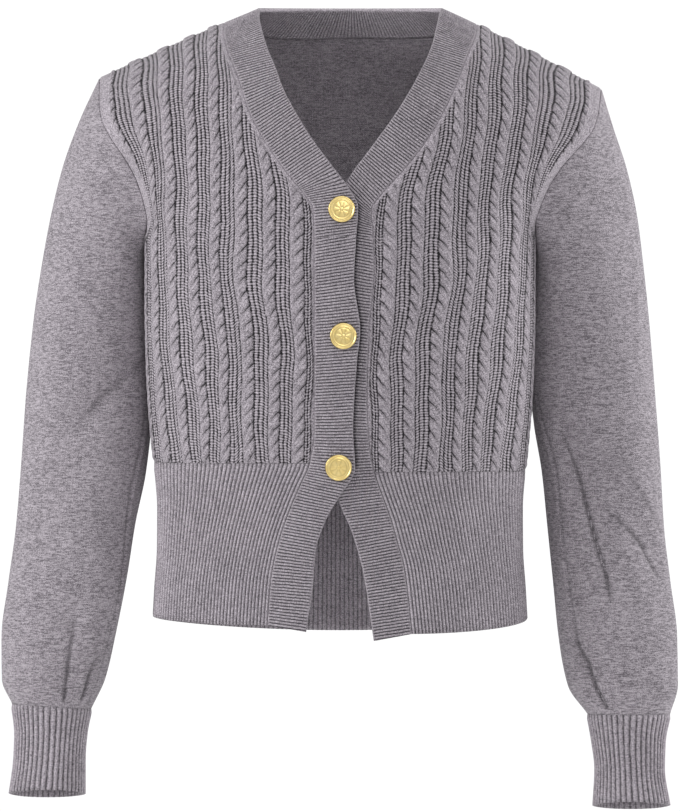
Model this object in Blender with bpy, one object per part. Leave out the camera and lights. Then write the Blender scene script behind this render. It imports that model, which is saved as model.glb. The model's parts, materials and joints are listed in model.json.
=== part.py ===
"""A cropped V-neck cardigan in cable knit, in its worn shape: closed cloth walls and three shank buttons.

Metres, +Z up. +X is to the viewer's right, -Y is toward the viewer, and the origin is midway between the
neck ends of the two shoulders. "right" and "left" in the names are the wearer's. Tables are in millimetres,
and so are all working values: build_object() turns them into metres.
"""
import math
from collections import namedtuple

import bmesh
import bpy
import numpy as np

METRES = 0.001

# Heights, depths and shape of the body
UNDERARM_Z = -175.0
RIDGE_Y = 8.0  # the shoulder seams lie this far behind the side seams
LEAN = 8.0  # the shoulders hang this far to the viewer's right of the hem
ROUNDING = 2.2  # exponent of the body's rings, 2 being an ellipse
YOKE_ROUNDING = 2.2  # the same for the curve from underarm up over the shoulder
SHOULDER_SLOPE, SLOPE_DIFFERENCE, SLOPE_SPREAD = 0.51, 0.04, 80.0
NECK_HALF_WIDTH, NECK_ROUNDING = 76.0, 50.0

# Walls and seams
SEAM_GAP = 0.4
ARMHOLE_GAP = 0.6
RIDGE_GAP = 0.0012  # level by which a wall stops short of the shoulder's ridge
INNER_INSET = 1.0  # a wall's inner edge stops this much short of a seam that turns
PANEL_WALL, BAND_WALL, HEM_WALL, SLEEVE_WALL, CUFF_WALL = 2.0, 2.2, 2.2, 1.8, 2.0
BAND_LIFT, BAND_SINK = 2.5, 1.5  # top band forward and under band back, where they overlap
BAND_STEP = 0.45  # share of a band's width over which it moves forward or back

# Knit relief
CROSSING = 11.2  # length of one twist of a cable
CABLE_HIGH, CABLE_LOW = 1.9, 0.7
LADDER_COUNT, LADDER_HALF, LOBE_HALF = 8, 0.21, 0.14
RIB_HEIGHT = 0.9
FRONT_HEM_RIBS, BACK_HEM_RIBS, CUFF_RIBS = 50, 94, 36

# Buttons
BUTTON_RADIUS, BUTTON_THICKNESS, SHANK_RADIUS = 10.0, 2.4, 1.6
BUTTONHOLE_START, BUTTONHOLE_END, BUTTONHOLE_HALF_HEIGHT = 0.55, 0.72, 2.8
BUTTON_HEIGHTS = (-154.6, -248.9, -344.5)
BUTTON_BACK, BUTTON_REACH = 1.2, 0.8  # clearance in front of the top band and behind it
BUTTON_EDGE, BUTTON_DISH, BUTTON_SIDES = 1.1, 0.5, 16
BAND_COLUMNS = (0, 0.3, BUTTONHOLE_START, BUTTONHOLE_END, 0.88, 1)
BAND_SPACING, BAND_WIDTH = 17.0, 30.0

Ring = namedtuple("Ring", "z half_width front_depth back_depth")
BODY = [
    Ring(-485, 143.5, 99, 98),
    Ring(-440, 141.0, 96, 94),
    Ring(-410, 139.0, 93, 91),
    Ring(-380, 138.8, 92, 90),
    Ring(-345, 141.5, 96, 92),
    Ring(-300, 145.5, 102, 96),
    Ring(-250, 147.5, 105, 99),
    Ring(-175, 148.0, 106, 100),
]

# Above the underarm, level runs from 0 there to 1 on the shoulder's ridge. The armhole columns are the
# turns in degrees from the middle of the front, and of the back, to the armhole seam.
Yoke = namedtuple("Yoke", "level half_width armhole_front armhole_back")
YOKE = [
    Yoke(0.00, 148.0, 90, 90),
    Yoke(0.03, 149.5, 80, 81),
    Yoke(0.06, 152.5, 75, 77),
    Yoke(0.18, 166.0, 70, 73),
    Yoke(0.29, 181.0, 68, 71),
    Yoke(0.39, 192.8, 68, 71),
    Yoke(0.49, 200.3, 68, 71),
    Yoke(0.62, 203.5, 68, 71),
    Yoke(1.00, 205.6, 68, 68),
]

# Ladder centres from the middle of the front, as seen from the front; drift moves all of them in +X.
# The ladder nearest the side lies halfway between the second and the panel's edge.
Wales = namedtuple("Wales", "z drift second third fourth fifth sixth seventh eighth")
WALES = [
    Wales(-342, 0.8, 123.1, 108.0, 94.5, 79.5, 59.3, 41.3, 25.5),
    Wales(-267, 1.5, 131.9, 115.4, 96.7, 80.2, 60.0, 40.5, 24.5),
    Wales(-207, 2.2, 135.6, 120.6, 103.7, 86.9, 65.2, 44.6, 26.5),
    Wales(-147, 3.0, 138.6, 121.3, 105.2, 87.6, 66.7, 45.7, 28.5),
    Wales(-87, 6.0, 145.7, 127.7, 108.9, 90.9, 74.4, 57.8, 42.1),
    Wales(-40, 6.8, 151.1, 131.5, 111.8, 95.2, 79.3, 65.0, 51.4),
]

# The front bands as seen from the front, from the hem up to the shoulder's ridge: each row pairs a point
# of the seam to the panel with the point across from it on the band's free edge.
BandRow = namedtuple("BandRow", "seam_z seam_x free_x free_z")
TOP_BAND = [
    BandRow(-466.0, -54.4, -25.5, -471.0),
    BandRow(-432.7, -51.8, -20.3, -436.4),
    BandRow(-403.5, -45.8, -18.0, -409.5),
    BandRow(-379.4, -37.5, -9.8, -385.4),
    BandRow(-359.9, -29.3, 0.8, -367.4),
    BandRow(-344.1, -22.5, 11.3, -347.9),
    BandRow(-319.4, -19.1, 9.8, -320.1),
    BandRow(-267.6, -19.1, 12.7, -267.6),
    BandRow(-245.2, -19.1, 15.0, -245.2),
    BandRow(-206.2, -19.1, 10.5, -206.2),
    BandRow(-177.0, -19.1, 12.0, -177.0),
    BandRow(-153.1, -20.2, 13.5, -152.3),
    BandRow(-144.1, -25.5, 7.5, -139.6),
    BandRow(-135.8, -32.2, -6.0, -121.5),
    BandRow(-116.2, -47.2, -21.8, -99.6),
    BandRow(-97.3, -59.3, -33.8, -79.7),
    BandRow(-77.3, -69.2, -42.2, -63.5),
    BandRow(-52.5, -76.9, -49.1, -44.7),
    BandRow(-32.8, -84.7, -56.9, -24.6),
    BandRow(-17.2, -88.0, -62.0, -2.3),
    BandRow(-8.0, -88.0, -62.0, 3.5),
]
UNDER_BAND = [
    BandRow(-472.6, 54.0, 25.5, -477.7),
    BandRow(-422.2, 48.0, 18.0, -428.2),
    BandRow(-403.5, 42.8, 13.5, -410.2),
    BandRow(-387.0, 38.3, 7.5, -392.2),
    BandRow(-370.4, 32.3, 0.0, -375.7),
    BandRow(-353.2, 26.3, -4.5, -356.9),
    BandRow(-330.6, 21.8, -6.8, -332.9),
    BandRow(-296.9, 20.2, -8.2, -296.9),
    BandRow(-244.4, 21.7, -8.2, -244.4),
    BandRow(-199.5, 25.5, -5.2, -198.0),
    BandRow(-172.5, 24.7, -5.2, -171.1),
    BandRow(-154.6, 23.2, 2.2, -138.1),
    BandRow(-144.8, 29.2, 9.0, -126.8),
    BandRow(-123.7, 48.0, 24.7, -105.6),
    BandRow(-96.5, 68.3, 43.6, -78.9),
    BandRow(-65.8, 84.3, 58.8, -52.5),
    BandRow(-36.0, 96.0, 69.7, -27.9),
    BandRow(-15.6, 103.5, 77.0, 1.0),
    BandRow(-8.0, 104.0, 78.0, 3.5),
]

# One front: side is -1 at the viewer's left, lift takes its band forward of the other, and heights are
# the rows of its band's grid.
Front = namedtuple("Front", "side band hem cuts lift heights holes")

# How far the bands have parted from each other's plane, 1 where one lies on the other
Overlap = namedtuple("Overlap", "seam_z share")
OVERLAP = [
    Overlap(-470, 0.3),
    Overlap(-400, 0.9),
    Overlap(-385, 1.0),
    Overlap(-137, 1.0),
    Overlap(-116, 0.3),
    Overlap(-97, 0.0),
]

# Hem ribs: height of the seam above them, and of the free edge at the side and at the middle
Hem = namedtuple("Hem", "top side_bottom middle_bottom")
HEM_RIGHT = Hem(-344.5, -460.5, -466.0)
HEM_LEFT = Hem(-351.0, -463.0, -472.6)
HEM_BACK = Hem(-347.0, -462.0, -476.0)

# Back neck: the seam dips this far in level below the ridge, and the neckband stands in from it
NECK_SEAM_X, NECK_FREE_X = 96.0, 70.0
NECK_DIP = 0.41
NECK_FREE_DEPTH, NECK_FREE_Z, NECK_FREE_RISE = 43.0, 3.0, 2.5

# Sleeve rings below the armhole: the outer and the inner edge as seen from the front, both as distances
# from the middle, then the ring's middle in depth and its half depth.
Cut = namedtuple("Cut", "outer_x outer_z inner_x inner_z middle_y half_depth")
SLEEVE_RIGHT = [
    Cut(199.7, -82.6, 149.4, -190.0, 14, 46.0),
    Cut(213.4, -119.3, 148.4, -205.0, 22, 47.0),
    Cut(222.6, -156.0, 146.8, -222.0, 29, 47.0),
    Cut(229.5, -192.0, 145.2, -243.0, 34, 46.5),
    Cut(236.0, -235.0, 144.0, -268.0, 35, 45.0),
    Cut(241.7, -293.8, 145.0, -312.0, 30, 42.0),
    Cut(245.2, -349.0, 149.0, -352.0, 22, 39.0),
    Cut(248.6, -394.7, 156.8, -391.0, 12, 36.0),
    Cut(253.8, -436.0, 163.0, -432.0, 2, 33.0),
    Cut(258.6, -477.0, 171.0, -474.0, -6, 30.0),
    Cut(258.0, -510.0, 179.0, -509.0, -12, 28.0),
    Cut(250.2, -528.0, 189.6, -532.0, -15, 24.0),
]
CUFF_RIGHT = [
    Cut(249.8, -528.5, 190.1, -532.5, -15, 23.6),
    Cut(247.5, -551.0, 193.5, -551.0, -15, 22.0),
    Cut(248.2, -570.0, 195.0, -570.0, -15, 21.5),
    Cut(251.7, -597.0, 195.0, -597.0, -15, 22.5),
]
SLEEVE_LEFT = [
    Cut(210.3, -90.0, 149.4, -194.0, 14, 46.0),
    Cut(220.3, -119.3, 148.4, -208.0, 22, 47.0),
    Cut(228.7, -156.0, 146.8, -225.0, 29, 47.0),
    Cut(233.5, -192.0, 145.4, -246.0, 34, 46.5),
    Cut(238.0, -235.0, 145.0, -270.0, 34, 45.0),
    Cut(242.7, -295.0, 149.0, -314.0, 30, 42.0),
    Cut(246.3, -349.0, 155.0, -352.0, 22, 39.0),
    Cut(248.5, -394.7, 159.0, -394.0, 12, 36.0),
    Cut(252.9, -436.0, 163.0, -436.0, 2, 33.0),
    Cut(257.6, -477.0, 167.0, -478.0, -6, 30.0),
    Cut(257.9, -514.0, 174.0, -515.0, -12, 28.0),
    Cut(251.8, -536.0, 188.6, -536.0, -15, 24.0),
]
CUFF_LEFT = [
    Cut(251.3, -536.5, 189.1, -536.5, -15, 23.6),
    Cut(247.5, -557.0, 192.5, -557.0, -15, 22.0),
    Cut(246.8, -578.0, 195.0, -578.0, -15, 21.5),
    Cut(251.0, -606.0, 193.5, -606.0, -15, 23.0),
]
SLEEVE_ROUNDING = 2.15

# The largest folds of the sleeves, each a soft trough between two places: along is the share of the way
# down, around the angle from the outer edge over the front, and sizes are in millimetres.
Fold = namedtuple("Fold", "along around end_along end_around half_width depth")
FOLDS_RIGHT = [
    Fold(0.36, 132, 0.50, 78, 13, 2.6),
    Fold(0.80, 104, 1.00, 106, 12, 2.2),
    Fold(0.50, 300, 0.60, 236, 14, 3.0),
    Fold(0.68, 232, 0.64, 296, 14, 2.6),
    Fold(0.86, 262, 1.00, 258, 12, 2.2),
]
FOLDS_LEFT = [
    Fold(0.48, 121, 0.72, 97, 13, 3.2),
    Fold(0.56, 88, 0.72, 42, 14, 2.6),
    Fold(0.82, 138, 1.00, 116, 12, 2.4),
    Fold(0.50, 298, 0.62, 238, 14, 3.0),
    Fold(0.72, 236, 0.67, 300, 14, 2.6),
    Fold(0.85, 270, 1.00, 264, 12, 2.2),
]
SLEEVE_LENGTH, SLEEVE_GIRTH = 440.0, 290.0  # mean sizes that the folds are laid out on
FOLD_FADE = 0.05  # share of the length over which folds fade out above the cuff
CUFF_TILT = 4.0  # a cuff's back edge hangs lower than its middle by this, its front edge higher

# Rows and columns of the walls' grids. Inner grids are coarser, and a front's inner columns are given in
# ladders counted from its edge.
NECK_COLUMNS = 12
SLEEVE_ROWS, SLEEVE_COLUMNS, SLEEVE_ROWS_INNER = 16, 20, 9
SLEEVE_CROWDING = 1.25  # over 1 sets the rows closer near the armhole
HEM_ROWS, CUFF_ROWS, CUFF_COLUMNS_INNER = 3, 2, 18
RIBS_PER_INNER_COLUMN, INNER_COLUMNS_LEAST = 6, 6
FRONT_INNER_COLUMNS = (0.0, 1.0, 2.5, 4.0, 5.5, 7.0, LADDER_COUNT + 1.0)
FRONT_INNER_LOW_ROWS = 7
BACK_OUTER_GRID, BACK_INNER_GRID = (6, 4), (3, 2)  # columns beyond the neck, rows under the underarm
NECKBAND_ROWS = (0.0, 0.33, 0.66, 1.0)
ROW_TURN = 35.0  # a front's rows are evenly spaced along this turn
SNAP = 0.6  # a column this near the band's seam in degrees lies on it
OVERSHOOT = 10.0  # the last wale runs on this far behind the band


def cubic(keys, values, key):
    """Values at key along the first axis, on a smooth curve through them that never overshoots."""
    step = np.diff(keys)
    shaped = step.reshape((-1,) + (1,) * (values.ndim - 1))
    slope = np.diff(values, axis=0) / shaped
    before, after = slope[:-1], slope[1:]
    turning = before * after <= 0
    middle = np.where(turning, 0.0, 2 * before * after / np.where(turning, 1.0, before + after))
    tangent = np.concatenate([slope[:1], middle, slope[-1:]])
    key = np.clip(key, keys[0], keys[-1])
    index = np.clip(np.searchsorted(keys, key, side="right") - 1, 0, len(keys) - 2)
    along = (key - keys[index]) / step[index]
    start, stop = values[index], values[index + 1]
    leave, arrive, span = tangent[index], tangent[index + 1], step[index]
    if values.ndim > 1:
        along, span = along[:, None], span[:, None]
    back = 1 - along
    return (
        start * (1 + 2 * along) * back**2
        + stop * (3 - 2 * along) * along**2
        + span * (leave * along * back**2 - arrive * along**2 * back)
    )


def read(table, column, key):
    """One column of a table at the given keys, which its first column holds."""
    keys = np.array([row[0] for row in table], float)
    values = np.array([getattr(row, column) for row in table], float)
    return cubic(keys, values, np.asarray(key, float))


def ease(value):
    """0 to 1 with level ends."""
    value = np.clip(value, 0.0, 1.0)
    return value * value * (3 - 2 * value)


def signed_power(value, exponent):
    """A power of the value's size that keeps its sign."""
    return np.sign(value) * np.abs(value) ** exponent


def unit(vectors):
    return vectors / np.maximum(np.linalg.norm(vectors, axis=-1, keepdims=True), 1e-12)


def lengths(points):
    """Length along a line of points, from 0 at its first point."""
    return np.concatenate([[0], np.cumsum(np.linalg.norm(np.diff(points, axis=0), axis=1))])


# The body's surface


def shoulder_z(across):
    """Height of the shoulder's ridge at a distance from the garment's middle."""
    slope = SHOULDER_SLOPE + SLOPE_DIFFERENCE * np.tanh(across / SLOPE_SPREAD)
    return -slope * (np.hypot(across, NECK_ROUNDING) - math.hypot(NECK_HALF_WIDTH, NECK_ROUNDING))


def lean(level):
    """How far to the viewer's right the body has shifted at a level."""
    return LEAN * np.sin(np.radians(90 * np.clip(level, 0, 1))) ** 0.8


def half_width(level):
    below = read(BODY, "half_width", UNDERARM_Z + np.minimum(level, 0))
    return np.where(level > 0, read(YOKE, "half_width", np.clip(level, 0, 1)), below)


def body(turn, level):
    """Points of the body's outer surface.

    turn is in degrees from the middle of the front, positive to the viewer's right and 180 at the back.
    level is the height over the underarm in millimetres while negative, and the share of the way over
    the shoulder while positive.
    """
    turn, level = np.broadcast_arrays(np.asarray(turn, float), np.asarray(level, float))
    low_z = UNDERARM_Z + np.minimum(level, 0)
    rise = np.radians(90 * np.clip(level, 0, 1))
    sine, cosine = np.sin(np.radians(turn)), np.cos(np.radians(turn))
    across = half_width(level) * signed_power(sine, 2 / ROUNDING)
    depth = np.where(cosine > 0, read(BODY, "front_depth", low_z), read(BODY, "back_depth", low_z))
    depth = depth * np.abs(cosine) ** (2 / ROUNDING) * np.abs(np.cos(rise)) ** (2 / YOKE_ROUNDING)
    up = np.sin(rise) ** (2 / YOKE_ROUNDING)
    x = across + lean(level)
    y = RIDGE_Y * (1 - np.cos(rise)) - np.sign(cosine) * depth
    z = low_z + (shoulder_z(across) - UNDERARM_Z) * up
    return np.stack([x, y, z], axis=-1)


def body_normal(turn, level):
    """Outward directions of the body's surface."""
    turn, level = np.broadcast_arrays(np.asarray(turn, float), np.asarray(level, float))
    nudge = np.where(level > 0, 0.01, 1.0)
    round_it = body(turn + 0.4, level) - body(turn - 0.4, level)
    up_it = body(turn, np.minimum(level + nudge, 1.0)) - body(turn, level - nudge)
    return unit(np.cross(round_it, up_it))


def front_place(x, z):
    """Turn and level of the point of the front seen at x and z."""
    x, z = np.broadcast_arrays(np.asarray(x, float), np.asarray(z, float))
    level = np.zeros_like(x)
    for _ in range(8):
        across = x - lean(level)
        share = np.clip((z - UNDERARM_Z) / (shoulder_z(across) - UNDERARM_Z), 0, 1)
        over = np.degrees(np.arcsin(share ** (YOKE_ROUNDING / 2))) / 90
        level = np.where(z < UNDERARM_Z, z - UNDERARM_Z, over)
    across = np.clip((x - lean(level)) / half_width(level), -1, 1)
    return np.degrees(np.arcsin(signed_power(across, ROUNDING / 2))), level


def seen_z(x, level):
    """Height of the front's point at x on a level."""
    up = np.sin(np.radians(90 * np.clip(level, 0, 1))) ** (2 / YOKE_ROUNDING)
    return UNDERARM_Z + np.minimum(level, 0) + (shoulder_z(x - lean(level)) - UNDERARM_Z) * up


def even_levels(turn, start, stop, count):
    """Levels that part the surface between two levels into equal lengths."""
    fine = np.linspace(start, stop, 400)
    length = lengths(body(turn, fine))
    return np.interp(np.linspace(0, length[-1], count + 1), length, fine)


def even_turns(start, stop, level, shares):
    """Turns at the given shares of the way round between two turns on one level."""
    fine = np.linspace(start, stop, 200)
    length = lengths(body(fine, level))
    return np.interp(np.asarray(shares) * length[-1], length, fine)


# Seams


def armhole_turn(side, level, at_back):
    """Turn of the armhole seam, or of the side seam below the underarm."""
    if at_back:
        edge = np.where(level > 0, read(YOKE, "armhole_back", np.clip(level, 0, 1)), 90.0)
        return side * (180 - edge)
    edge = np.where(level > 0, read(YOKE, "armhole_front", np.clip(level, 0, 1)), 90.0)
    return side * edge


def seam_x(front, z):
    """A front's band seam as seen from the front, straight between the band's rows."""
    return np.interp(z, front.heights, read(front.band, "seam_x", front.heights))


def seam_turn(front, level):
    """Turn of a front's band seam on a level."""
    x = float(front.band[-1].seam_x)
    for _ in range(12):
        x = float(seam_x(front, seen_z(x, level)))
    return float(front_place(x, seen_z(x, level))[0])


def armhole_chord(side, at_back, level):
    """The armhole seam's point on a level, straight between the sleeve's columns."""
    known = armhole_levels(at_back)
    points = body(armhole_turn(side, known, at_back), known)
    return np.array([np.interp(level, known, points[:, axis]) for axis in range(3)])


def armhole_curve(side, at_back):
    """The armhole seam's half from the shoulder down to the underarm: levels, turns and arc shares."""
    levels = np.linspace(1.0, 0.0, 241) ** 1.5
    turns = armhole_turn(side, levels, at_back)
    length = lengths(body(turns, levels))
    return levels, turns, length / length[-1]


def armhole_levels(at_back):
    """Levels of the walls' rows above the underarm, which meet the sleeve's columns on the seam."""
    levels, _, share = armhole_curve(1, at_back)
    return np.interp(np.linspace(1, 0, SLEEVE_COLUMNS // 2 + 1), share, levels)


def armhole_place(side, around):
    """Turn and level of the armhole seam at an angle round it: 0 on the shoulder, 90 front, 180 below."""
    around = np.mod(around, 360)
    turn, level = np.zeros_like(around), np.zeros_like(around)
    for at_back in (False, True):
        levels, turns, share = armhole_curve(side, at_back)
        mine = around > 180 if at_back else around <= 180
        along = (360 - around) / 180 if at_back else around / 180
        turn = np.where(mine, np.interp(along, share, turns), turn)
        level = np.where(mine, np.interp(along, share, levels), level)
    return turn, level


def hem_bottom(hem, share):
    """Height of a hem's free edge from the side (0) to the middle (1)."""
    return hem.side_bottom + (hem.middle_bottom - hem.side_bottom) * np.sin(np.radians(90 * share))


def hem_heights(hem, share):
    """Heights of a hem's rows, from its seam down to its free edge, at a share of the way to the middle."""
    return hem.top + (hem_bottom(hem, share) - hem.top) * np.linspace(0, 1, HEM_ROWS + 1)


def band_heights(band, hem, holes):
    """Seam heights of a band's rows: the hem's rows, then even lengths, with a pair at each buttonhole."""
    low = hem_heights(hem, 1.0)[::-1]
    fine = np.linspace(hem.top, band[-1].seam_z, 800)
    length = lengths(body(*front_place(read(band, "seam_x", fine), fine)))
    high = np.interp(np.linspace(0, length[-1], round(length[-1] / BAND_SPACING) + 1), length, fine)
    heights = np.concatenate([low, high[1:]])
    for centre in holes:
        heights = heights[np.abs(heights - centre) > 3 * BUTTONHOLE_HALF_HEIGHT]
        ends = [centre - BUTTONHOLE_HALF_HEIGHT, centre + BUTTONHOLE_HALF_HEIGHT]
        heights = np.sort(np.concatenate([heights, ends]))
    return heights


# Sleeves


def cut_ring(cut, side, around):
    """One sleeve ring: 0 degrees at its outer edge, 90 at the front, 180 at its inner edge."""
    cosine = signed_power(np.cos(np.radians(around)), 2 / SLEEVE_ROUNDING)
    sine = signed_power(np.sin(np.radians(around)), 2 / SLEEVE_ROUNDING)
    x = (cut.outer_x + cut.inner_x) / 2 + (cut.outer_x - cut.inner_x) / 2 * cosine
    z = (cut.outer_z + cut.inner_z) / 2 + (cut.outer_z - cut.inner_z) / 2 * cosine
    y = cut.middle_y - cut.half_depth * sine
    return np.stack([side * x, y, z], axis=-1)


def tube(rings, along, around, first=None):
    """Points of a tube through its rings, at rows along (0 to 1) and angles around."""
    around = np.asarray(around, float)
    stack = [ring(around) for ring in rings]
    if first is not None:
        stack.insert(0, first(around))
    values = np.stack(stack)
    steps = np.linalg.norm(np.diff(values.mean(axis=1), axis=0), axis=1)
    keys = np.concatenate([[0], np.cumsum(steps)])
    flat = values.reshape(len(values), -1)
    return cubic(keys / keys[-1], flat, np.asarray(along, float)).reshape(len(along), len(around), 3)


def tube_normal(surface, along, around):
    """Outward directions of a tube surface(along, around)."""
    along = np.asarray(along, float)
    nudge = 0.004
    down = surface(np.minimum(along + nudge, 1), around) - surface(np.maximum(along - nudge, 0), around)
    turn = surface(along, around + 2.0) - surface(along, around - 2.0)
    return unit(np.cross(down, turn))


def fold_depth(folds, along, around):
    """How far the folds press in a sleeve's points, for rows along and columns around."""
    down, across = np.meshgrid(np.asarray(along) * SLEEVE_LENGTH, around * SLEEVE_GIRTH / 360, indexing="ij")
    depth = np.zeros_like(down)
    for fold in folds:
        start = np.array([fold.along * SLEEVE_LENGTH, fold.around * SLEEVE_GIRTH / 360])
        run = np.array([fold.end_along * SLEEVE_LENGTH, fold.end_around * SLEEVE_GIRTH / 360]) - start
        share = np.clip(((down - start[0]) * run[0] + (across - start[1]) * run[1]) / (run @ run), 0, 1)
        away = np.hypot(down - start[0] - share * run[0], across - start[1] - share * run[1])
        depth += fold.depth * np.exp(-((away / fold.half_width) ** 2))
    return depth * ease((1 - np.asarray(along)) / FOLD_FADE)[:, None]


def sleeve_surface(side, cuts, folds):
    def armhole(around):
        points = body(*armhole_place(side, around))
        return points + np.array([side * ARMHOLE_GAP, 0, 0])

    def smooth(along, around):
        return tube(rings, along, around, armhole)

    def folded(along, around):
        outward = -side * tube_normal(smooth, along, around)
        return smooth(along, around) - outward * fold_depth(folds, along, around)[..., None]

    rings = [lambda around, cut=cut: cut_ring(cut, side, around) for cut in cuts]
    return folded if folds else smooth


def cuff_surface(side, cuts):
    def ring(cut, is_last):
        def points(around):
            placed = cut_ring(cut, side, around)
            if is_last:
                placed[..., 2] += CUFF_TILT * np.sin(np.radians(around))
            return placed

        return points

    rings = [ring(cut, cut is cuts[-1]) for cut in cuts]
    return lambda along, around: tube(rings, along, around)


def armhole_mitre(side, cuts, around):
    """Direction that halves the corner between body and sleeve along the armhole seam."""
    surface = sleeve_surface(side, cuts, ())
    sleeve = -side * tube_normal(surface, np.array([0.0]), around)[0]
    return unit(body_normal(*armhole_place(side, around)) + sleeve)


# Closed walls


class Wall:
    """Points and faces of one closed wall, in millimetres."""

    def __init__(self):
        self.points = []
        self.faces = []

    def add_row(self, row):
        """Indices of a row of points, equal neighbours sharing one."""
        indices = []
        for point in row:
            if indices and np.linalg.norm(self.points[indices[-1]] - point) < 1e-6:
                indices.append(indices[-1])
                continue
            self.points.append(np.array(point))
            indices.append(len(self.points) - 1)
        return indices

    def add_face(self, corners):
        """A face through the corners that differ, if it has an area."""
        kept = [corner for place, corner in enumerate(corners) if corner != corners[place - 1]]
        if len(set(kept)) >= 3:
            self.faces.append(kept)

    def skin(self, rows, closed=False, holes=()):
        """A grid of points as faces, without the cells named in holes; gives the index rows."""
        grid = [self.add_row(row) for row in rows]
        for low in range(len(grid) - 1):
            lower, upper = grid[low], grid[low + 1]
            for left in range(len(lower) if closed else len(lower) - 1):
                right = (left + 1) % len(lower)
                if (low, left) not in holes:
                    self.add_cell([lower[left], lower[right], upper[right], upper[left]])
        return grid

    def add_cell(self, corners):
        """Two faces over a cell of a grid, parted along its shorter diagonal."""
        one, two, three, four = (self.points[corner] for corner in corners)
        if np.linalg.norm(one - three) <= np.linalg.norm(two - four):
            corners = corners[1:] + corners[:1]
        first, second, third, fourth = corners
        self.add_face([first, second, fourth])
        self.add_face([second, third, fourth])

    def shares(self, line):
        """Places of a line's points as shares of its length."""
        length = lengths(np.array([self.points[index] for index in line]))
        return length / length[-1]

    def join(self, first, second):
        """Triangles between two lines of points that run the same way."""
        first = [index for place, index in enumerate(first) if place == 0 or index != first[place - 1]]
        second = [index for place, index in enumerate(second) if place == 0 or index != second[place - 1]]
        one, two = self.shares(first), self.shares(second)
        here, there = 0, 0
        while here < len(first) - 1 or there < len(second) - 1:
            step_first = there == len(second) - 1
            if not step_first and here < len(first) - 1:
                step_first = one[here + 1] <= two[there + 1]
            if step_first:
                self.faces.append([first[here], first[here + 1], second[there]])
                here += 1
            else:
                self.faces.append([first[here], second[there + 1], second[there]])
                there += 1


def rim(wall, outer, inner):
    """Closes the four sides between an outer and an inner grid."""
    wall.join(outer[0], inner[0])
    wall.join(outer[-1], inner[-1])
    wall.join([row[0] for row in outer], [row[0] for row in inner])
    wall.join([row[-1] for row in outer], [row[-1] for row in inner])


def build_object(name, wall, material):
    """One mesh object from a closed wall."""
    mesh = bpy.data.meshes.new(name)
    shape = bmesh.new()
    points = [shape.verts.new(np.asarray(point) * METRES) for point in wall.points]
    for face in wall.faces:
        shape.faces.new([points[index] for index in face])
    loose = [point for point in shape.verts if not point.link_faces]
    bmesh.ops.delete(shape, geom=loose, context="VERTS")
    bmesh.ops.recalc_face_normals(shape, faces=shape.faces)
    if shape.calc_volume(signed=True) < 0:
        bmesh.ops.reverse_faces(shape, faces=shape.faces)
    shape.to_mesh(mesh)
    shape.free()
    placed = bpy.data.objects.new(name, mesh)
    placed.data.materials.append(material)
    bpy.context.scene.collection.objects.link(placed)
    return placed


def make_material(name, colour, roughness, metallic=0.0):
    material = bpy.data.materials.new(name)
    material.use_nodes = True
    shader = material.node_tree.nodes["Principled BSDF"]
    shader.inputs["Base Color"].default_value = (*colour, 1.0)
    shader.inputs["Roughness"].default_value = roughness
    shader.inputs["Metallic"].default_value = metallic
    material.diffuse_color = (*colour, 1.0)
    return material


# Front panels


def ladder_turns(side, level):
    """Turns of the ladder centres on one level, from the armhole or side edge to the middle."""
    edge = float(armhole_turn(side, np.array(level), False))
    turns = [edge]
    for column in Wales._fields[2:]:
        x = side * 100.0
        for _ in range(8):
            z = float(seen_z(np.array(x), level))
            x = float(read(WALES, "drift", z)) + side * float(read(WALES, column, z))
        half = float(half_width(np.array(level)))
        across = np.clip((x - float(lean(level))) / half, -1, 1)
        turns.append(float(np.degrees(np.arcsin(signed_power(across, ROUNDING / 2)))))
    turns.insert(1, (turns[0] + turns[1]) / 2)
    return turns


def knit_columns():
    """Places across a front, in ladders counted from its edge, with the kind of each."""
    columns = [(0.0, "edge")]
    for ladder in range(1, LADDER_COUNT + 1):
        columns += [(ladder - LADDER_HALF, "ladder"), (ladder + LADDER_HALF, "ladder")]
        if ladder < LADDER_COUNT:
            columns += [(ladder + 0.5 - LOBE_HALF, "lobe one"), (ladder + 0.5 + LOBE_HALF, "lobe two")]
    return columns + [(LADDER_COUNT + 1.0, "seam")]


def panel_row(front, level, places, inset=0.0):
    """Turns of one row of a front panel; places past the band's seam are moved onto it."""
    side = front.side
    known = ladder_turns(side, level)
    known[0] -= side * math.degrees(inset / half_width(np.array(level)))
    seam = seam_turn(front, level)
    seam += side * math.degrees((SEAM_GAP / 2 + inset) / half_width(np.array(level)))
    known.append(min(known[-1] * side, seam * side) * side - side * OVERSHOOT)
    turns = [float(np.interp(place, range(len(known)), known)) for place in places]
    if level < 0:
        turns[0] -= side * math.degrees(SEAM_GAP / 2 / read(BODY, "front_depth", UNDERARM_Z + level))
    snapped = [seam if side * (turn - seam) < SNAP else turn for turn in turns]
    snapped[-1] = seam
    return snapped


def lobe_height(kind, row):
    """How far a point of a cable stands out of the wall, its two strands taking turns from row to row."""
    if not kind.startswith("lobe"):
        return 0.0
    return CABLE_HIGH if (kind == "lobe one") == (row % 2 == 0) else CABLE_LOW


def front_rows(hem, crossing):
    """Levels of a front panel's rows, from the hem's seam to the shoulder's."""
    low = hem.top + SEAM_GAP / 2 - UNDERARM_Z
    high_length = lengths(body(ROW_TURN, np.linspace(0, 1, 100)))[-1]
    high = even_levels(ROW_TURN, 0.0, 1 - RIDGE_GAP, round(high_length / crossing))
    return np.concatenate([np.linspace(low, 0, round(-low / crossing) + 1)[:-1], high])


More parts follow.
